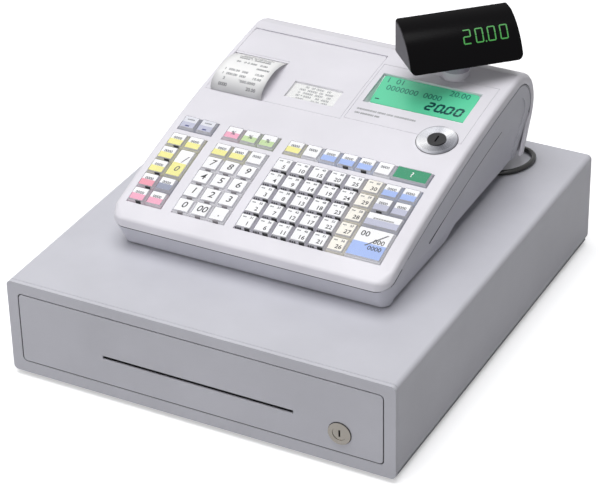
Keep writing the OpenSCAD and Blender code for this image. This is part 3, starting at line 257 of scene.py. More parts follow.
# Glass-fibre board under a green solder mask.
solder_mask = moulded("green_solder_mask", "#1E5A3C", rough=0.3, grain=1.0, depth=0.03)
finish(solder_mask, "main_board")

# ---------- Parting shade lines ---
# Thin dark beads in the joint between the two mouldings are painted shade for the shadow in the joint: black round
# the front, grey along the sides and round the back corners. Below it a fine dark bead along each side is painted
# shade under the step there.
gap_shade_black = moulded("black_painted_gap_shade", "#242428", rough=0.6, grain=0.7, depth=0.03)


def bead(name, points, radius, material, body="housing"):
    """A round bead along a smooth line of points, in mm, made a mesh."""
    line = bpy.data.curves.new(name, "CURVE")
    line.dimensions = "3D"
    run = line.splines.new("POLY")
    run.points.add(len(points) - 1)
    for knot, point in zip(run.points, points):
        knot.co = [c / 1000 for c in point] + [1]
    line.bevel_depth = radius / 1000
    line.bevel_resolution = 3
    line.use_fill_caps = True
    piece = bpy.data.objects.new(name, line)
    scene.collection.objects.link(piece)
    bpy.ops.object.select_all(action="DESELECT")
    piece.select_set(True)
    bpy.context.view_layer.objects.active = piece
    bpy.ops.object.convert(target="MESH")
    piece = bpy.context.object
    piece.data.materials.clear()
    piece.data.materials.append(material)
    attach(piece, body)
    return piece


# The case's top is an arc about an axis behind and far below it. The case's middle lies 1 mm to the right.
TOP_R, CREST_Y, CREST_Z, CASE_X = 1409, 332.5, -1185.2, 1


def under_top(y, depth):
    """Height of a line on the case's side, that many mm under its sloping top."""
    return CREST_Z + math.sqrt((TOP_R - depth) ** 2 - (CREST_Y - y) ** 2)


def on_arc(middle, radius, angles):
    """Points on an arc about a middle, at those angles in degrees."""
    return [(middle[0] + radius * math.cos(math.radians(a)), middle[1] + radius * math.sin(math.radians(a)))
            for a in angles]


JOINT_SHADE_X, JOINT_SHADE_DEPTH, JOINT_SHADE_R = 148.35, 12.1, 0.65
CORNER, CORNER_R = (132.85, -119.4), 15.5
REAR, REAR_R = (167.5, 173.1), 28.9
STEP_SHADE_X, STEP_SHADE_DEPTH, STEP_SHADE_R = 147.8, 36, 0.35
side_run = [(JOINT_SHADE_X, y, z) for y, z in on_arc(REAR, REAR_R, range(-23, 97, 10))]
side_run += [(JOINT_SHADE_X, y, under_top(y, JOINT_SHADE_DEPTH)) for y in range(160, -116, -12)]
front = side_run[-1:] + [(x, y, under_top(y, JOINT_SHADE_DEPTH)) for x, y in on_arc(CORNER, CORNER_R, range(0, -91, -10))]
bead("parting_shade_line", [(CASE_X + x, y, z) for x, y, z in front] + [(CASE_X - x, y, z) for x, y, z in reversed(front)],
     JOINT_SHADE_R, gap_shade_black)
gap_shade_grey = moulded("grey_painted_gap_shade", "#96969E", rough=0.6, grain=0.7, depth=0.03)
for side, name in ((1, "right_side_seal"), (-1, "left_side_seal")):
    bead(name, [(CASE_X + side * x, y, z) for x, y, z in side_run[:-1]], JOINT_SHADE_R, gap_shade_grey)
# The beads under the step on each side are painted shade.
for side, name in ((1, "right_side_groove"), (-1, "left_side_groove")):
    bead(name, [(CASE_X + side * STEP_SHADE_X, y, under_top(y, STEP_SHADE_DEPTH)) for y in range(126, -50, -8)], STEP_SHADE_R,
         gap_shade_black)


def round_frame(half_w, low, high, radius, y):
    """A closed line round an upright rectangle with round corners, in mm, at a depth of y."""
    line = []
    for middle, start in (((half_w - radius, high - radius), 0), ((radius - half_w, high - radius), 90),
                          ((radius - half_w, low + radius), 180), ((half_w - radius, low + radius), 270)):
        line += [(x, y, z) for x, z in on_arc(middle, radius, range(start, start + 91, 15))]
    return line + line[:1]


# The drawer's opening has a black bead too, on its edge and clear of the drawer, and the lock a black ring: both are
# painted shade for the gaps there.
OPENING_HALF_W, OPENING_LOW, OPENING_HIGH, OPENING_R, OPENING_Y = 193.5, 17.5, 94.3, 5, -231.7
EDGE = 0.36
bead("opening_shade_line", round_frame(OPENING_HALF_W - EDGE, OPENING_LOW + EDGE, OPENING_HIGH - EDGE, OPENING_R - EDGE,
                                 OPENING_Y), 0.34, gap_shade_black)
LOCK, LOCK_R = (0.149, -0.2327, 0.0396), 11.75
lock_shade_line = bead("lock_shade_ring", round_frame(LOCK_R, -LOCK_R, LOCK_R, 11.7, 0), 0.28, gap_shade_black, "drawer")
lock_shade_line.data.transform(Matrix.Translation(LOCK))


def on_top(x, s, up=0):
    """Frame on the sloping top: x across, s up the slope and up out of it, in mm."""
    tilt = math.radians(19.442) - s / TOP_R
    return (Matrix.Translation(((CASE_X + x) / 1000, CREST_Y / 1000, CREST_Z / 1000))
            @ Matrix.Rotation(tilt, 4, "X") @ Matrix.Translation((0, 0, (TOP_R + up) / 1000)))


def pick(piece, kind, test):
    """In edit mode, selects just the faces or edges whose middle and direction pass the test, in mm."""
    bpy.ops.mesh.select_mode(type=kind)
    bpy.ops.mesh.select_all(action="DESELECT")
    mesh = bmesh.from_edit_mesh(piece.data)
    for item in mesh.faces if kind == "FACE" else mesh.edges:
        if kind == "FACE":
            middle, way = item.calc_center_median(), item.normal
        else:
            ends = [v.co for v in item.verts]
            middle, way = (ends[0] + ends[1]) / 2, (ends[1] - ends[0]).normalized()
        item.select_set(test(middle * 1000, way))
    bmesh.update_edit_mesh(piece.data)


def block(name, w, l, z0, z1):
    """Starts a piece as a block between two heights, in edit mode, in mm."""
    bpy.ops.object.select_all(action="DESELECT")
    bpy.ops.mesh.primitive_cube_add(size=0.001, location=(0, 0, (z0 + z1) / 2000))
    piece = bpy.context.object
    piece.name = name
    piece.scale = (w, l, z1 - z0)
    bpy.ops.object.transform_apply(location=True, rotation=False, scale=True)
    bpy.ops.object.mode_set(mode="EDIT")
    return piece


def joined(name, pieces):
    """Joins pieces into the first of them, which takes the name."""
    bpy.ops.object.select_all(action="DESELECT")
    for piece in pieces:
        piece.select_set(True)
    bpy.context.view_layer.objects.active = pieces[0]
    if len(pieces) > 1:
        bpy.ops.object.join()
    pieces[0].name = name
    pieces[0].data.name = name
    return pieces[0]


# Pale lips under the joints of the printer cover and the display panel, which are 0.4 mm wide and shallow:
# each by its middle, across and up the slope, and its two sizes. A lip up the slope follows it in short steps.
LIP_W, LIP_LOW, LIP_HIGH, LIP_STEPS = 0.3, -1.2, -0.45, 12
for name, x, s_mid, wide, long in (
        ("cover_front_lip", -66.5, 189.8, 151, LIP_W), ("panel_front_lip", 56.2, 192.8, 87.5, LIP_W),
        ("panel_corner_lip", 133, 192.8, 10, LIP_W), ("cover_left_lip", -142.2, 243, LIP_W, 105),
        ("cover_right_lip", 9.2, 243, LIP_W, 105), ("panel_left_lip", 12.3, 239.5, LIP_W, 92),
        ("panel_right_lip", 138.2, 239.5, LIP_W, 92)):
    pieces = []
    count = LIP_STEPS if wide == LIP_W else 1
    for i in range(count):
        strip = block(name, wide, long / count, LIP_LOW, LIP_HIGH)
        bpy.ops.object.mode_set(mode="OBJECT")
        strip.data.transform(on_top(x, s_mid + (i - (count - 1) / 2) * long / count))
        strip.data.materials.append(white_abs)
        pieces.append(strip)
    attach(joined(name, pieces), "housing")

# ---------- Mode switch ----------
# A spun, brushed ring with a shallow dish, and a black plug with a slot for the operator's card key.
spun, out = new_material("spun_nickel_ring")
place = add(spun, "TexCoord", {}).outputs["Object"]
SWITCH_X, SWITCH_S = 114, 190
centre = on_top(SWITCH_X, SWITCH_S).translation
round_it = add(spun, "Mapping", {"Vector": place, "Location": [-c for c in centre]})
angle = add(spun, "TexGradient", {"Vector": round_it.outputs[0]}, gradient_type="RADIAL")
rings = add(spun, "TexWave", {"Vector": round_it.outputs[0], "Scale": 260, "Distortion": 0.6, "Detail": 2},
            wave_type="RINGS", rings_direction="Z")
# Painted highlights: the base colour carries the two bright fans and dark sectors that light throws on a turned face;
# the ramp goes once round the ring, from its left, anticlockwise.
painted_highlight_fans = add(spun, "ValToRGB", {"Fac": angle.outputs["Fac"]})
for spot, code in ((0.12, "#F6F6F8"), (0.25, "#B9BAC0"), (0.38, "#7C7D84"), (0.55, "#A2A3AA"), (0.66, "#E9E9EC"),
                   (0.78, "#A4A5AB")):
    painted_highlight_fans.color_ramp.elements.new(spot).color = colour(code)
for end in (0, -1):
    painted_highlight_fans.color_ramp.elements[end].color = colour("#C4C5CA")
gloss = add(spun, "MapRange", {"Value": rings.outputs["Fac"], "To Min": 0.24, "To Max": 0.42})
bump = add(spun, "Bump", {"Height": rings.outputs["Fac"], "Strength": 0.3, "Distance": 0.00002})
skin = add(spun, "BsdfPrincipled", {"Base Color": painted_highlight_fans.outputs["Color"], "Metallic": 0.85,
                                    "Roughness": gloss.outputs["Result"], "Normal": bump.outputs["Normal"]})
spun.node_tree.links.new(skin.outputs["BSDF"], out.inputs["Surface"])
finish(spun, "mode_ring")
# A thin black bead all round under the ring's edge is painted shade for the gap there.
under_ring = on_top(SWITCH_X, SWITCH_S, 0.25)
bead("mode_ring_shade_ring", [under_ring @ Vector((x, y, 0)) * 1000 for x, y in on_arc((0, 0), 0.0207, range(0, 361, 6))],
     0.24, gap_shade_black)
plug_black = moulded("black_acetal", "#17171A", rough=0.3, grain=0.5, depth=0.02)
finish(plug_black, "mode_plug")

# ---------- Keys ----------
# Each key is a tapered ABS skirt on a square guide stem, with a printed card on its head and a clear
# acrylic cap snapped over it. The cards carry plain numbers, bars and signs.
PITCH_X, PITCH_S, ROWS_S, UPPER_S = 19.3, 19.6, 68.7, 133.8
GAP, RISE, SINK, TAPER = 0.6, 3.6, 2, 1.7
STEM, STEM_END = 3.4, -11.5
LEDGE, CARD_UP = 1.2, 2.8


def taper_top(piece, w, l, by):
    """Narrows the top face of a block by that much on every side."""
    pick(piece, "FACE", lambda middle, way: way.z > 0.9)
    bpy.ops.transform.resize(value=((w - 2 * by) / w, (l - 2 * by) / l, 1), center_override=(0, 0, 0))


def draft(height):
    """How far a key's side has leaned in at a height over the case."""
    return TAPER * (height + SINK) / (RISE + SINK)


def skirt_master(w, l):
    """The moulded skirt of a key, open below, with its ledge, card seat and stem."""
    piece = block("key_skirt", w, l, -SINK, LEDGE)
    taper_top(piece, w, l, draft(LEDGE))
    bpy.ops.mesh.inset(thickness=0.0009)
    bpy.ops.mesh.extrude_region_move(TRANSFORM_OT_translate={"value": (0, 0, (CARD_UP - 0.1 - LEDGE) / 1000)})
    pick(piece, "FACE", lambda middle, way: way.z < -0.9)
    bpy.ops.mesh.inset(thickness=0.001)
    bpy.ops.mesh.extrude_region_move(TRANSFORM_OT_translate={"value": (0, 0, 0.0006)})
    bpy.ops.mesh.inset(thickness=0.001)
    bpy.ops.transform.resize(value=(STEM / (w - 4), STEM / (l - 4), 1), center_override=(0, 0, 0))
    bpy.ops.mesh.extrude_region_move(TRANSFORM_OT_translate={"value": (0, 0, (STEM_END + SINK - 0.6) / 1000)})
    pick(piece, "EDGE", lambda middle, way: abs(way.z) > 0.8 and middle.z > -SINK)
    bpy.ops.mesh.bevel(offset=0.0007, segments=2)
    bpy.ops.object.mode_set(mode="OBJECT")
    return piece


def cap_master(w, l):
    """The clear cap: a hollow tapered box, with its top and its sides in two finishes."""
    foot = draft(LEDGE)
    piece = block("key_cap", w - 2 * foot, l - 2 * foot, LEDGE + 0.05, RISE)
    taper_top(piece, w - 2 * foot, l - 2 * foot, draft(RISE) - foot)
    pick(piece, "EDGE", lambda middle, way: abs(way.z) > 0.8)
    bpy.ops.mesh.bevel(offset=0.0009, segments=2)
    pick(piece, "EDGE", lambda middle, way: middle.z > RISE - 0.01)
    bpy.ops.mesh.bevel(offset=0.0003, segments=1)
    pick(piece, "FACE", lambda middle, way: way.z < -0.9)
    bpy.ops.mesh.delete(type="FACE")
    bpy.ops.object.mode_set(mode="OBJECT")
    bpy.ops.object.modifier_add(type="SOLIDIFY")
    piece.modifiers[0].thickness = 0.00055
    piece.modifiers[0].offset = -1
    bpy.ops.object.modifier_apply(modifier=piece.modifiers[0].name)
    piece.data.materials.append(clear_acrylic)
    piece.data.materials.append(acrylic_edge)
    for face in piece.data.polygons:
        face.material_index = 0 if face.center.z * 1000 > RISE - 0.7 and abs(face.normal.z) > 0.8 else 1
    return piece


def card_master(w, l):
    """The printed card under the cap, in four fields so that its halves can differ."""
    foot = draft(LEDGE) + 0.95
    bpy.ops.object.select_all(action="DESELECT")
    bpy.ops.mesh.primitive_grid_add(x_subdivisions=2, y_subdivisions=2, size=0.001, location=(0, 0, CARD_UP / 1000))
    piece = bpy.context.object
    piece.name = "key_card"
    piece.scale = (w - 2 * foot, l - 2 * foot, 1)
    bpy.ops.object.transform_apply(location=True, rotation=False, scale=True)
    bpy.ops.object.modifier_add(type="SOLIDIFY")
    piece.modifiers[0].thickness = 0.00015
    piece.modifiers[0].offset = -1
    bpy.ops.object.modifier_apply(modifier=piece.modifiers[0].name)
    return piece


# Clear acrylic: nearly colourless from above, milkier where one looks along its moulded edges.
clear_acrylic = moulded("clear_acrylic_cap", "#F4F4F8", rough=0.06, grain=4, depth=0.001, Alpha=0.02,
                        **{"Specular IOR Level": 0.25})
acrylic_edge = moulded("clear_acrylic_cap_edge", "#E6E6EC", rough=0.12, grain=4, depth=0.002, Alpha=0.5)
# Skirts: lightly textured ABS. Cards: matt coated paper, whose fibre cloud is drawn at 1.5 mm.
SKIRTS = {"grey": "#D0CED6", "light": "#F0EFF3", "yellow": "#D9D7C6", "pink": "#D9CDD5", "green": "#D0D5CA",
          "blue": "#CDD2E0", "beige": "#E6E2D7", "slate": "#BEBFC9", "white": "#EAEAEE"}
CARDS = {"white": "#F7F7F9", "yellow": "#F0EB96", "pink": "#F0A9C3", "rose": "#EE9BAE", "green": "#C5DDA6",
         "blue": "#A3BAEE", "slate": "#9499AE", "lilac": "#BEC0D4", "deep": "#0C8A60", "pale": "#DFE0E8",
         "cream": "#F6F2E8"}
INKS = {"black": "#1E1E22", "grey": "#54565D", "navy": "#3A3E7A", "white": "#F4F4F4",
        "thermal": "#707074", "faint": "#8C8E90"}
skirt_abs = {key: moulded("key_skirt_abs_" + key, code, rough=0.38, grain=0.6, depth=0.02)
             for key, code in SKIRTS.items()}
card_print = {key: moulded("printed_card_" + key, code, rough=0.55, grain=1.5, depth=0.01)
              for key, code in CARDS.items()}
ink_print = {key: moulded("printing_ink_" + key, code, rough=0.5, grain=0.5, depth=0.004)
             for key, code in INKS.items()}


def written(words, height, ink, slant=0, weight=0.1):
    """Printed signs as a thin flat mesh about their own middle, in mm."""
    bpy.ops.object.select_all(action="DESELECT")
    bpy.ops.object.text_add()
    piece = bpy.context.object
    piece.data.body = words
    piece.data.size = height / 1000 / 0.7
    piece.data.align_x, piece.data.align_y = "CENTER", "CENTER"
    piece.data.resolution_u = 3
    piece.data.shear = slant
    piece.data.offset = weight / 1000
    piece.data.extrude = 0.00003
    bpy.ops.object.convert(target="MESH")
    piece = bpy.context.object
    piece.data.materials.clear()
    piece.data.materials.append(ink)
    return piece


masters = {}
for cols, rows in ((1, 1), (1, 2), (2, 1), (2, 2)):
    wide, long = cols * PITCH_X - GAP, rows * PITCH_S - GAP
    masters[cols, rows] = (skirt_master(wide, long), cap_master(wide, long), card_master(wide, long))


def copied(master, place):
    """A copy of a master with a mesh of its own, put in its place."""
    piece = bpy.data.objects.new(master.name, master.data.copy())
    piece.data.transform(place)
    scene.collection.objects.link(piece)
    return piece


def key(x, s, skirt="grey", upper="white", lower="white", signs=(), size=(1, 1)):
    """One finished key: skirt, card, signs as (words, height, ink, x, y, slant) and cap."""
    place = on_top(x, s)
    parts = []
    for master, paints in zip(masters[size], ((skirt_abs[skirt],), None, (card_print[upper], card_print[lower]))):
        part = copied(master, place)
        if paints:
            part.data.materials.clear()
            for paint in paints:
                part.data.materials.append(paint)
            if len(paints) == 2:
                for face, plain in zip(part.data.polygons, master.data.polygons):
                    face.material_index = 0 if plain.center.y > 0 else 1
        parts.append(part)
    for words, height, ink, dx, dy, slant in signs:
        sign = written(words, height, ink_print[ink], slant)
        sign.data.transform(place @ Matrix.Translation((dx / 1000, dy / 1000, (CARD_UP + 0.05) / 1000)))
        parts.append(sign)
    return parts


def col_x(middle, count, i):
    """Place across of key i in a block of so many columns."""
    return middle + (i - (count - 1) / 2) * PITCH_X


def row_s(i):
    """Place up the slope of row i, counted from the front."""
    return ROWS_S + (i - 2) * PITCH_S


# Each department and number key carries a small dark block on its front edge, painted shade for the shadow at its
# stem, and most departments three ribs.
FRONT_EDGE = -0.0087
stem_shade_block = block("key_stem_shade", 5.6, 1.3, -1.0, 2.3)
pick(stem_shade_block, "EDGE", lambda middle, way: abs(way.x) > 0.9 and middle.z > 1)
bpy.ops.mesh.bevel(offset=0.0005, segments=2)
pick(stem_shade_block, "EDGE", lambda middle, way: abs(way.z) > 0.9)
bpy.ops.mesh.bevel(offset=0.0004, segments=2)
bpy.ops.object.mode_set(mode="OBJECT")
rib = block("key_rib", 1.5, 1.1, -0.6, 1.5)
bpy.ops.object.mode_set(mode="OBJECT")
tab_dark = moulded("dark_rib_abs", "#4A484E", rough=0.4, grain=0.6, depth=0.01)
# The black and grey blocks below are painted shade.
black_stem_shade = moulded("black_stem_shade_paint", "#111113", rough=0.3, grain=0.6, depth=0.01)
grey_stem_shade = moulded("grey_stem_shade_paint", "#8C888C", rough=0.4, grain=0.6, depth=0.01)


def tabbed(x, s, paint, dx):
    """One dark block on the front edge of the key at that place: painted shade at its stem."""
    piece = copied(stem_shade_block, on_top(x, s) @ Matrix.Translation((dx / 1000, FRONT_EDGE, 0)))
    piece.data.materials.append(paint)
    return piece


def marked(x, s):
    """Three small dark ribs at the left of a key's front edge."""
    ribs = [copied(rib, on_top(x, s) @ Matrix.Translation((dx / 1000, FRONT_EDGE, 0))) for dx in (-7, -4.6, -2.2)]
    for piece in ribs:
        piece.data.materials.append(tab_dark)
    return joined("key_ribs", ribs)


LEFT_X, NUMBER_X, DEPT_X = -119.7, -60.4, 55.8
WORD = (("0000", 3.2, "grey", 0, 1.6, 0),)
key_sets = {}
for i, name in enumerate(("0", "00", "point", "1", "2", "3", "4", "5", "6", "7", "8", "9")):
    sign = ((name if name != "point" else "."), 7.6, "black", 0.4, 0.2, 0.18)
    x, s = col_x(NUMBER_X, 3, i % 3), row_s(i // 3)
    key_sets["key_" + name] = key(x, s, "light", signs=(sign,)) + [tabbed(x, s, grey_stem_shade, 0)]
for j in range(5):
    row = []
    for i in range(6):
        x, s = col_x(DEPT_X, 8, i), row_s(j)
        number = 5 * i + j + 1
        signs = ((str(number), 4.8, "black", 2.4, -3.2, 0), (str(number + 30), 2.6, "grey", 3.8, 4.6, 0),
                 ("==", 2.4, "grey", -3.6, 4.4, 0))
        row += key(x, s, "beige" if i == 5 else "grey", *(("cream",) * 2 if i == 5 else ()), signs=signs)
        if i < 5:
            row += [tabbed(x, s, black_stem_shade, 4.9), marked(x, s)]
    key_sets["dept_row_%d" % (j + 1)] = row
key_sets["feed_keys"] = []
for i in (0, 1):
    key_sets["feed_keys"] += key(col_x(LEFT_X, 2, i), UPPER_S, "slate", "pale", "lilac",
                                 (("====", 2.4, "grey", 0, 3.6, 0), ("-", 12, "navy", 0, -4, 0)))
left = []
for j, low in enumerate(("pink", "rose", "yellow", "yellow", "yellow")):
    x, s = col_x(LEFT_X, 2, 0), row_s(j)
    left += key(x, s, "yellow" if j > 1 else "pink", "white", low, WORD) + [tabbed(x, s, black_stem_shade, 3.2)]
for j, skirt, low in ((0, "pink", "pink"), (1, "slate", "slate"), (4, "yellow", "yellow")):
    left += key(col_x(LEFT_X, 2, 1), row_s(j), skirt, "white", low, WORD)
left += key(col_x(LEFT_X, 2, 1), row_s(2.5), "yellow", "white", "yellow",
            (("/", 9, "grey", 2, 5, 0.2), ("0", 7, "grey", 0, -8, 0.2)), (1, 2))
key_sets["left_keys"] = left
function = []
for i, low in enumerate(("pink", "green", "green")):
    function += key(col_x(NUMBER_X, 3, i), UPPER_S, low, "white", low, (("%", 5, "grey", 0, -0.6, 0),))
for i, low in enumerate(("yellow", "yellow", "white")):
    function += key(col_x(NUMBER_X, 3, i), row_s(4), low, "white", low, WORD)
key_sets["function_keys"] = function
deal = []
for i, low in enumerate(("yellow", "white", "blue", "blue", "blue", "white")):
    x = col_x(DEPT_X, 8, i)
    deal += key(x, UPPER_S, low, "white", low, WORD)
    if i in (3, 4):
        deal.append(tabbed(x, UPPER_S, black_stem_shade, 1))
deal += key(col_x(DEPT_X, 8, 6.5), UPPER_S, "slate", "deep", "deep", (("?", 6.5, "white", 0, 0, 0),), (2, 1))
for i in (6, 7):
    deal += key(col_x(DEPT_X, 8, i), row_s(4), "blue", "white", "blue", WORD)
    deal += key(col_x(DEPT_X, 8, i), row_s(3), "slate", "white", "lilac", WORD)
deal.append(tabbed(col_x(DEPT_X, 8, 6), row_s(3), black_stem_shade, 0))
deal += key(col_x(DEPT_X, 8, 6.5), row_s(2), "slate", "white", "lilac", (("========", 3.2, "grey", 0, 1, 0),), (2, 1))
key_sets["transaction_keys"] = deal
key_sets["key_cash"] = key(col_x(DEPT_X, 8, 6.5), row_s(0.5), "white", "white", "blue",
                           (("00", 6.4, "black", -9, 10, 0), ("/", 17, "grey", -1, 4, 0.7),
                            ("000", 5.4, "black", 8, 3, 0), ("0000", 5.0, "black", 7, -5.4, 0)), (2, 2))
for node, parts in key_sets.items():
    piece = joined(node + "_tops", parts)
    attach(piece, node)
    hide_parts(node)
for group in masters.values():
    for master in group:
        bpy.data.objects.remove(master)
bpy.data.objects.remove(stem_shade_block)
bpy.data.objects.remove(rib)

# ---------- Receipt and journal ----------
# Thermal paper, 57.5 mm wide: the receipt curls forward out of its slot, and the journal web passes flat under
# its window. Both carry rows of printed figures.
thermal_paper = moulded("thermal_paper", "#F6F5F4", rough=0.7, grain=0.9, depth=0.03)
finish(thermal_paper, "receipt_roll", "journal_roll", "receipt_paper")
window_clear = moulded("clear_styrene_window", "#F0F3F4", rough=0.08, grain=2, depth=0.002, Alpha=0.12)
finish(window_clear, "journal_window")
PAPER_X, PAPER_S, PAPER_W, PAPER_OUT = -110, 254.3, 57.8, 66
JOURNAL_X, JOURNAL_S = -33, 217

# The paper leaves its slot at 34 degrees to the case, and curls down by so many degrees a millimetre, and more
# and more over its last 18 mm.
PAPER_L, STEP, SLOT_ANGLE, CURL, END_CURL, END_FROM = 72, 0.25, 34, 0.8, 0.22, 54
steps, spot = [], [PAPER_S - 0.9, -0.8]
for i in range(int(PAPER_L / STEP) + 1):
    steps.append(tuple(spot))
    along = i * STEP
    heading = math.radians(SLOT_ANGLE - CURL * along - END_CURL * max(0, along - END_FROM) ** 2)
    spot[0] -= STEP * math.cos(heading)
    spot[1] += STEP * math.sin(heading)


def on_paper(piece, lift):
    """Lays a flat mesh on the curl: x across, y (down) along the paper from its slot, in m; it leans a little."""
    for corner in piece.data.vertices:
        x, y, z = corner.co * 1000
        i = min(max(int(-y / STEP), 0), len(steps) - 2)
        part = min(max(-y / STEP - i, 0), 1)
        s, up = [steps[i][k] + (steps[i + 1][k] - steps[i][k]) * part for k in (0, 1)]
        run, rise = steps[i + 1][0] - steps[i][0], steps[i + 1][1] - steps[i][1]
        s, up = s + rise / STEP * (lift + z), up - run / STEP * (lift + z)
        lean = 3.4 * (PAPER_S - s) / PAPER_OUT
        corner.co = on_top(PAPER_X + lean, s, up) @ Vector((x / 1000, 0, 0))
    return piece


# The strip is thin and lets a little light through. Its free end is painted greyer: painted shade where the curl
# turns down away from the light.
strip_paper, out = new_material("thermal_paper_strip")
place = add(strip_paper, "TexCoord", {}).outputs["Object"]
cloud = add(strip_paper, "TexNoise", {"Vector": place, "Scale": 1100, "Detail": 3})
along = add(strip_paper, "SeparateXYZ", {"Vector": place})
end_shade_mask = add(strip_paper, "MapRange", {"Value": along.outputs["Y"], "From Min": 0.046, "From Max": 0.061})
grey = add(strip_paper, "Mix", {0: end_shade_mask.outputs["Result"], 6: colour("#CFCFD1"), 7: colour("#FFFFFF")},
           data_type="RGBA")
bump = add(strip_paper, "Bump", {"Height": cloud.outputs["Fac"], "Strength": 0.4, "Distance": 0.00003})
face = add(strip_paper, "BsdfDiffuse", {"Color": grey.outputs[2], "Normal": bump.outputs["Normal"]})
through = add(strip_paper, "BsdfTranslucent", {"Color": grey.outputs[2]})
thin = add(strip_paper, "MixShader", {0: 0.12, 1: face.outputs[0], 2: through.outputs[0]})
strip_paper.node_tree.links.new(thin.outputs[0], out.inputs["Surface"])

bpy.ops.object.select_all(action="DESELECT")
bpy.ops.mesh.primitive_grid_add(x_subdivisions=6, y_subdivisions=60, size=0.001)
curl = bpy.context.object
curl.name = "receipt_curl"
curl.scale = (PAPER_W, PAPER_L, 1)
bpy.ops.object.transform_apply(location=True, rotation=False, scale=True)
curl.data.transform(Matrix.Translation((0, -PAPER_L / 2000, 0)))
on_paper(curl, 0)
bpy.ops.object.modifier_add(type="SOLIDIFY")
curl.modifiers[0].thickness = 0.0001
curl.modifiers[0].offset = 1
bpy.ops.object.modifier_apply(modifier=curl.modifiers[0].name)
bpy.ops.object.shade_smooth()
curl.data.materials.append(strip_paper)
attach(curl, "printer_cover")
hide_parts("receipt_paper")

# A guide closes the slot behind the paper.
guide = block("receipt_guide", 60.4, 2.9, -1.9, -0.1)
pick(guide, "EDGE", lambda middle, way: abs(way.x) > 0.9 and middle.z > -1)
bpy.ops.mesh.bevel(offset=0.0004, segments=2)
bpy.ops.object.mode_set(mode="OBJECT")
guide.data.transform(on_top(-111, 255.4))
guide.data.materials.append(white_abs)
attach(guide, "printer_cover")

# The printed rows, each by its distance from the slot, signs, height, shift across and weight of its strokes.
print_rows = []
for along, words, high, dx, heavy in (
        (8.5, "00000000 000000 0000", 2.3, 0, 0.08), (13, "0000000  00-00-0000", 2.6, -2, 0.1),
        (18, "00000 *  00000000", 2.9, 0, 0.16), (27.5, "00   0 0 000   0.00", 3.0, 1, 0.14),
        (35, "0000000", 2.6, 17, 0.12), (44, "1  000.00  000      10.00", 2.9, 0, 0.1),
        (50.5, "1  000.00  000      10.00", 2.9, 0, 0.1), (57, "2            *000.0000", 2.9, 0, 0.14),
        (64, "0000                20.00", 3.1, 0, 0.18)):
    row = written(words, high * 1.1, ink_print["thermal"], weight=heavy * 0.8)
    row.data.transform(Matrix.Translation((dx / 1000, -along / 1000, 0)))
    print_rows.append(on_paper(row, 0.14))
receipt_print = joined("receipt_print", print_rows)
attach(receipt_print, "printer_cover")

# The journal web lies just under its window, with five pale rows.
web = block("journal_web", 57.4, 40, -2.95, -2.75)
pick(web, "EDGE", lambda middle, way: abs(way.z) > 0.8)
bpy.ops.mesh.bevel(offset=0.001, segments=2)
bpy.ops.object.mode_set(mode="OBJECT")
web.data.materials.append(thermal_paper)
web.data.transform(on_top(JOURNAL_X, JOURNAL_S))
journal_rows = [web]
for i, (words, dx) in enumerate((("00  00 0000   00", 0), ("000  00000  00  0000", 0), ("0   00000  0000    00", 0),
                                 ("00 * 0000    00  0000", 0), ("0000       00.00  000", 1))):
    row = written(words, 3.0, ink_print["faint"], weight=0.1)
    row.data.transform(on_top(JOURNAL_X + dx, JOURNAL_S + 9.6 - 4.8 * i, -2.71))
    journal_rows.append(row)
journal_web = joined("journal_web", journal_rows)
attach(journal_web, "printer_cover")

# ---------- Clerk display ----------
# A green liquid-crystal module lies a little steeper than the case, under the opening of its
# panel: a glass with dark figures, lit faintly from behind, in a pale moulded tub with a front lip.
tub_abs = moulded("pale_display_tub_abs", "#C9CAD0", rough=0.5, grain=0.6, depth=0.02)
finish(tub_abs, "clerk_display")
lcd_film = moulded("green_lcd_film", "#57C096", rough=0.25, grain=1.2, depth=0.002,
                   **{"Emission Color": colour("#62CDA2"), "Emission Strength": 0.2})
lcd_figure = moulded("dark_lcd_segment", "#064A48", rough=0.3, grain=1, depth=0.001)
lcd_dots = moulded("pale_lcd_dots", "#17776A", rough=0.3, grain=1, depth=0.001)
lip_abs = moulded("pale_lip_abs", "#F2F2F6", rough=0.45, grain=0.6, depth=0.02)
LCD = on_top(72.5, 272, -3.1) @ Matrix.Rotation(math.radians(9), 4, "X")

glass = block("lcd_glass", 104, 39.8, 0, 1.3)
taper_top(glass, 104, 39.8, 0.3)
pick(glass, "EDGE", lambda middle, way: abs(way.z) > 0.8)
bpy.ops.mesh.bevel(offset=0.003, segments=4)
bpy.ops.object.mode_set(mode="OBJECT")
glass.data.materials.append(lcd_film)
glass.data.transform(LCD @ Matrix.Translation((-0.0004, -0.0202, 0)))
lip = block("lcd_lip", 106, 9.2, 0, 1.7)
taper_top(lip, 106, 9.2, 0.5)
bpy.ops.mesh.bevel(offset=0.0004, segments=2)
bpy.ops.object.mode_set(mode="OBJECT")
lip.data.materials.append(lip_abs)
lip.data.transform(LCD @ Matrix.Translation((0, -0.0449, 0)))

# The tub's walls rise from the glass to the opening, higher towards the front.
tub = block("lcd_tub", 107.4, 49.5, 0.05, 4.45)
pick(tub, "FACE", lambda middle, way: way.z > 0.9)
bpy.ops.transform.rotate(value=math.radians(9), orient_axis="X", center_override=(0, 0, 0.00445))
pick(tub, "FACE", lambda middle, way: way.z < -0.9)
bpy.ops.transform.resize(value=(0.982, 0.99, 1), center_override=(0, 0.024, 0.00005))
pick(tub, "FACE", lambda middle, way: abs(way.z) > 0.9)
bpy.ops.mesh.delete(type="ONLY_FACE")
bpy.ops.object.mode_set(mode="OBJECT")
bpy.ops.object.modifier_add(type="SOLIDIFY")
tub.modifiers[0].thickness = 0.0003
tub.modifiers[0].offset = -1
bpy.ops.object.modifier_apply(modifier=tub.modifiers[0].name)
tub.data.materials.append(lip_abs)
tub.data.transform(LCD @ Matrix.Translation((0, -0.0250, 0)))


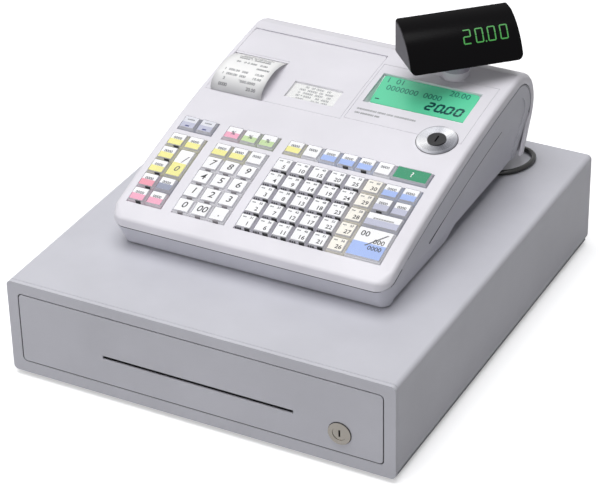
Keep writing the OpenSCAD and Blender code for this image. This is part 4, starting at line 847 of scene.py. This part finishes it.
def bar_master(length, width):
    """One display segment: a long hexagon, lying along Y, in mm."""
    bpy.ops.object.select_all(action="DESELECT")
    bpy.ops.mesh.primitive_circle_add(vertices=6, radius=0.001, fill_type="NGON")
    bar = bpy.context.object
    bpy.ops.object.mode_set(mode="EDIT")
    bpy.ops.mesh.select_mode(type="VERT")
    bpy.ops.transform.resize(value=(width / 2 / 0.866, width / 2 / 0.866, 1), center_override=(0, 0, 0))
    mesh = bmesh.from_edit_mesh(bar.data)
    for side in (-1, 1):
        for corner in mesh.verts:
            corner.select_set(corner.co.y * side > 0.0001)
        mesh.select_flush_mode()
        bmesh.update_edit_mesh(bar.data)
        bpy.ops.transform.translate(value=(0, side * (length - width) / 2000, 0))
    bpy.ops.mesh.select_all(action="SELECT")
    bpy.ops.mesh.extrude_region_move(TRANSFORM_OT_translate={"value": (0, 0, 0.00006)})
    bpy.ops.object.mode_set(mode="OBJECT")
    return bar


# Two faint rows of signs are printed on the panel, below the opening.
legend = []
for words, x, s_at in (("000000000000 00000 0000 0000000000000", 50, 210.2), ("000 00000000 000", 32, 204)):
    row = written(words, 2.5, ink_print["faint"], weight=0.08)
    row.data.transform(on_top(x, s_at, 0.03))
    legend.append(row)
legend = joined("panel_legend", legend)
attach(legend, "housing")

# Which of the seven segments each figure lights: top, two right, bottom, two left, middle
LIT = {"0": "abcdef", "2": "abged"}


def figures(name, words, wide, high, pitch, thick, paint, slant=0.14):
    """A row of seven-segment figures from the left, in mm, as one flat mesh."""
    half = high / 2
    spots = {"a": (0, half, 90), "b": (wide / 2, half / 2, 0), "c": (wide / 2, -half / 2, 0), "d": (0, -half, 90),
             "e": (-wide / 2, -half / 2, 0), "f": (-wide / 2, half / 2, 0), "g": (0, 0, 90)}
    upright, across = bar_master(half - 0.25, thick), bar_master(wide - 0.25, thick)
    parts, x = [], wide / 2
    for sign in words:
        if sign == ".":
            dot = bar_master(thick * 1.3, thick * 1.1)
            dot.data.transform(Matrix.Translation(((x - pitch / 2) / 1000, -half / 1000, 0)))
            parts.append(dot)
            continue
        for letter in LIT[sign]:
            sx, sy, turn = spots[letter]
            parts.append(copied(across if turn else upright, Matrix.Translation(((x + sx) / 1000, sy / 1000, 0))
                                @ Matrix.Rotation(math.radians(turn), 4, "Z")))
        x += pitch
    for master in (upright, across):
        bpy.data.objects.remove(master)
    row = joined(name, parts)
    for corner in row.data.vertices:
        corner.co.x += corner.co.y * slant
    row.data.materials.clear()
    row.data.materials.append(paint)
    return row


# The figures lie on the glass: the total, two small rows and a dash at the left.
ON_GLASS = 0.00132
total = figures("lcd_total", "20.00", 6.2, 9.4, 10.4, 2.5, lcd_figure, slant=0.2)
total.data.transform(LCD @ Matrix.Translation((0.006, -0.0285, ON_GLASS)))
lines = []
for words, x, y in (("1  01", -38, -6), ("20.00", 32, -6), ("0000000  0000", -14, -16)):
    line = written(words, 7, lcd_dots, weight=0.05)
    line.data.transform(LCD @ Matrix.Translation((x / 1000, y / 1000, ON_GLASS)))
    lines.append(line)
dash = block("lcd_dash", 4.4, 1.5, 0, 0.05)
bpy.ops.object.mode_set(mode="OBJECT")
dash.data.materials.append(lcd_figure)
dash.data.transform(LCD @ Matrix.Translation((-0.0465, -0.0335, ON_GLASS)))
lines = joined("lcd_lines", lines + [dash])
for piece in (glass, lip, tub, total, lines):
    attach(piece, "housing")

# ---------- Customer display ----------
# A moulded grey head turns on a telescopic post. Smoked acrylic with a high gloss closes its curved front,
# and green vacuum-fluorescent figures shine through it.
display_abs = moulded("dark_grey_display_abs", "#3B3A40", rough=0.42, grain=0.6, depth=0.02)
finish(display_abs, "display_head")
# The post is white, with a greyer neck just above the case: the grey is painted shade under the head.
NECK_Z = 0.218
post_abs = moulded("white_post_abs_with_painted_neck_shade", "#E4E2E9", rough=0.42, grain=0.6, depth=0.02)
finish(post_abs, "display_post")
height = add(post_abs, "SeparateXYZ", {"Vector": add(post_abs, "TexCoord", {}).outputs["Object"]}).outputs["Z"]
neck_shade_mask = add(post_abs, "Math", {0: height, 1: NECK_Z}, operation="GREATER_THAN")
skin = post_abs.node_tree.nodes["Principled BSDF"]
pale = skin.inputs["Base Color"].links[0].from_socket
painted_neck_shade = add(post_abs, "Mix", {0: neck_shade_mask.outputs[0], 6: pale, 7: colour("#B0ABB8")}, data_type="RGBA")
post_abs.node_tree.links.new(painted_neck_shade.outputs[2], skin.inputs["Base Color"])
smoked = moulded("smoked_acrylic", "#060507", rough=0.16, grain=3, depth=0.002, **{"Specular IOR Level": 0.06})
finish(smoked, "display_window")
glow, out = new_material("green_fluorescent_figure")
place = add(glow, "TexCoord", {}).outputs["Object"]
phosphor = add(glow, "TexNoise", {"Vector": place, "Scale": 1500, "Detail": 1})
green = add(glow, "Mix", {0: phosphor.outputs["Fac"], 6: colour("#257F2C"), 7: colour("#3FA544")}, data_type="RGBA")
skin = add(glow, "BsdfPrincipled", {"Base Color": (0, 0, 0, 1), "Roughness": 0.3,
                                    "Emission Color": green.outputs[2], "Emission Strength": 1.0})
glow.node_tree.links.new(skin.outputs["BSDF"], out.inputs["Surface"])
HEAD_TURN, HEAD_R, HEAD_F, HEAD_Z = math.radians(44), 57.12, -20, 217.8
POST = Vector((0.088, 0.1515, 0))


def on_head(piece):
    """Wraps a flat mesh round the head's curved front: x along the head, y up the curve from the middle, in m."""
    ahead = Vector((math.sin(HEAD_TURN), -math.cos(HEAD_TURN), 0))
    along = Vector((math.cos(HEAD_TURN), math.sin(HEAD_TURN), 0))
    for corner in piece.data.vertices:
        x, y, z = corner.co
        angle = y * 1000 / HEAD_R
        reach = HEAD_R / 1000 + z
        corner.co = (POST + along * x + ahead * (HEAD_F / 1000 + reach * math.cos(angle))
                     + Vector((0, 0, HEAD_Z / 1000 + reach * math.sin(angle))))
    return piece


shown = figures("head_total", "20.00", 7.2, 14.5, 12.8, 1.35, glow, slant=0.08)
shown.data.transform(Matrix.Translation((0, HEAD_R / 1000 * math.radians(48.5), 0)))
on_head(shown)
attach(shown, "display_head")
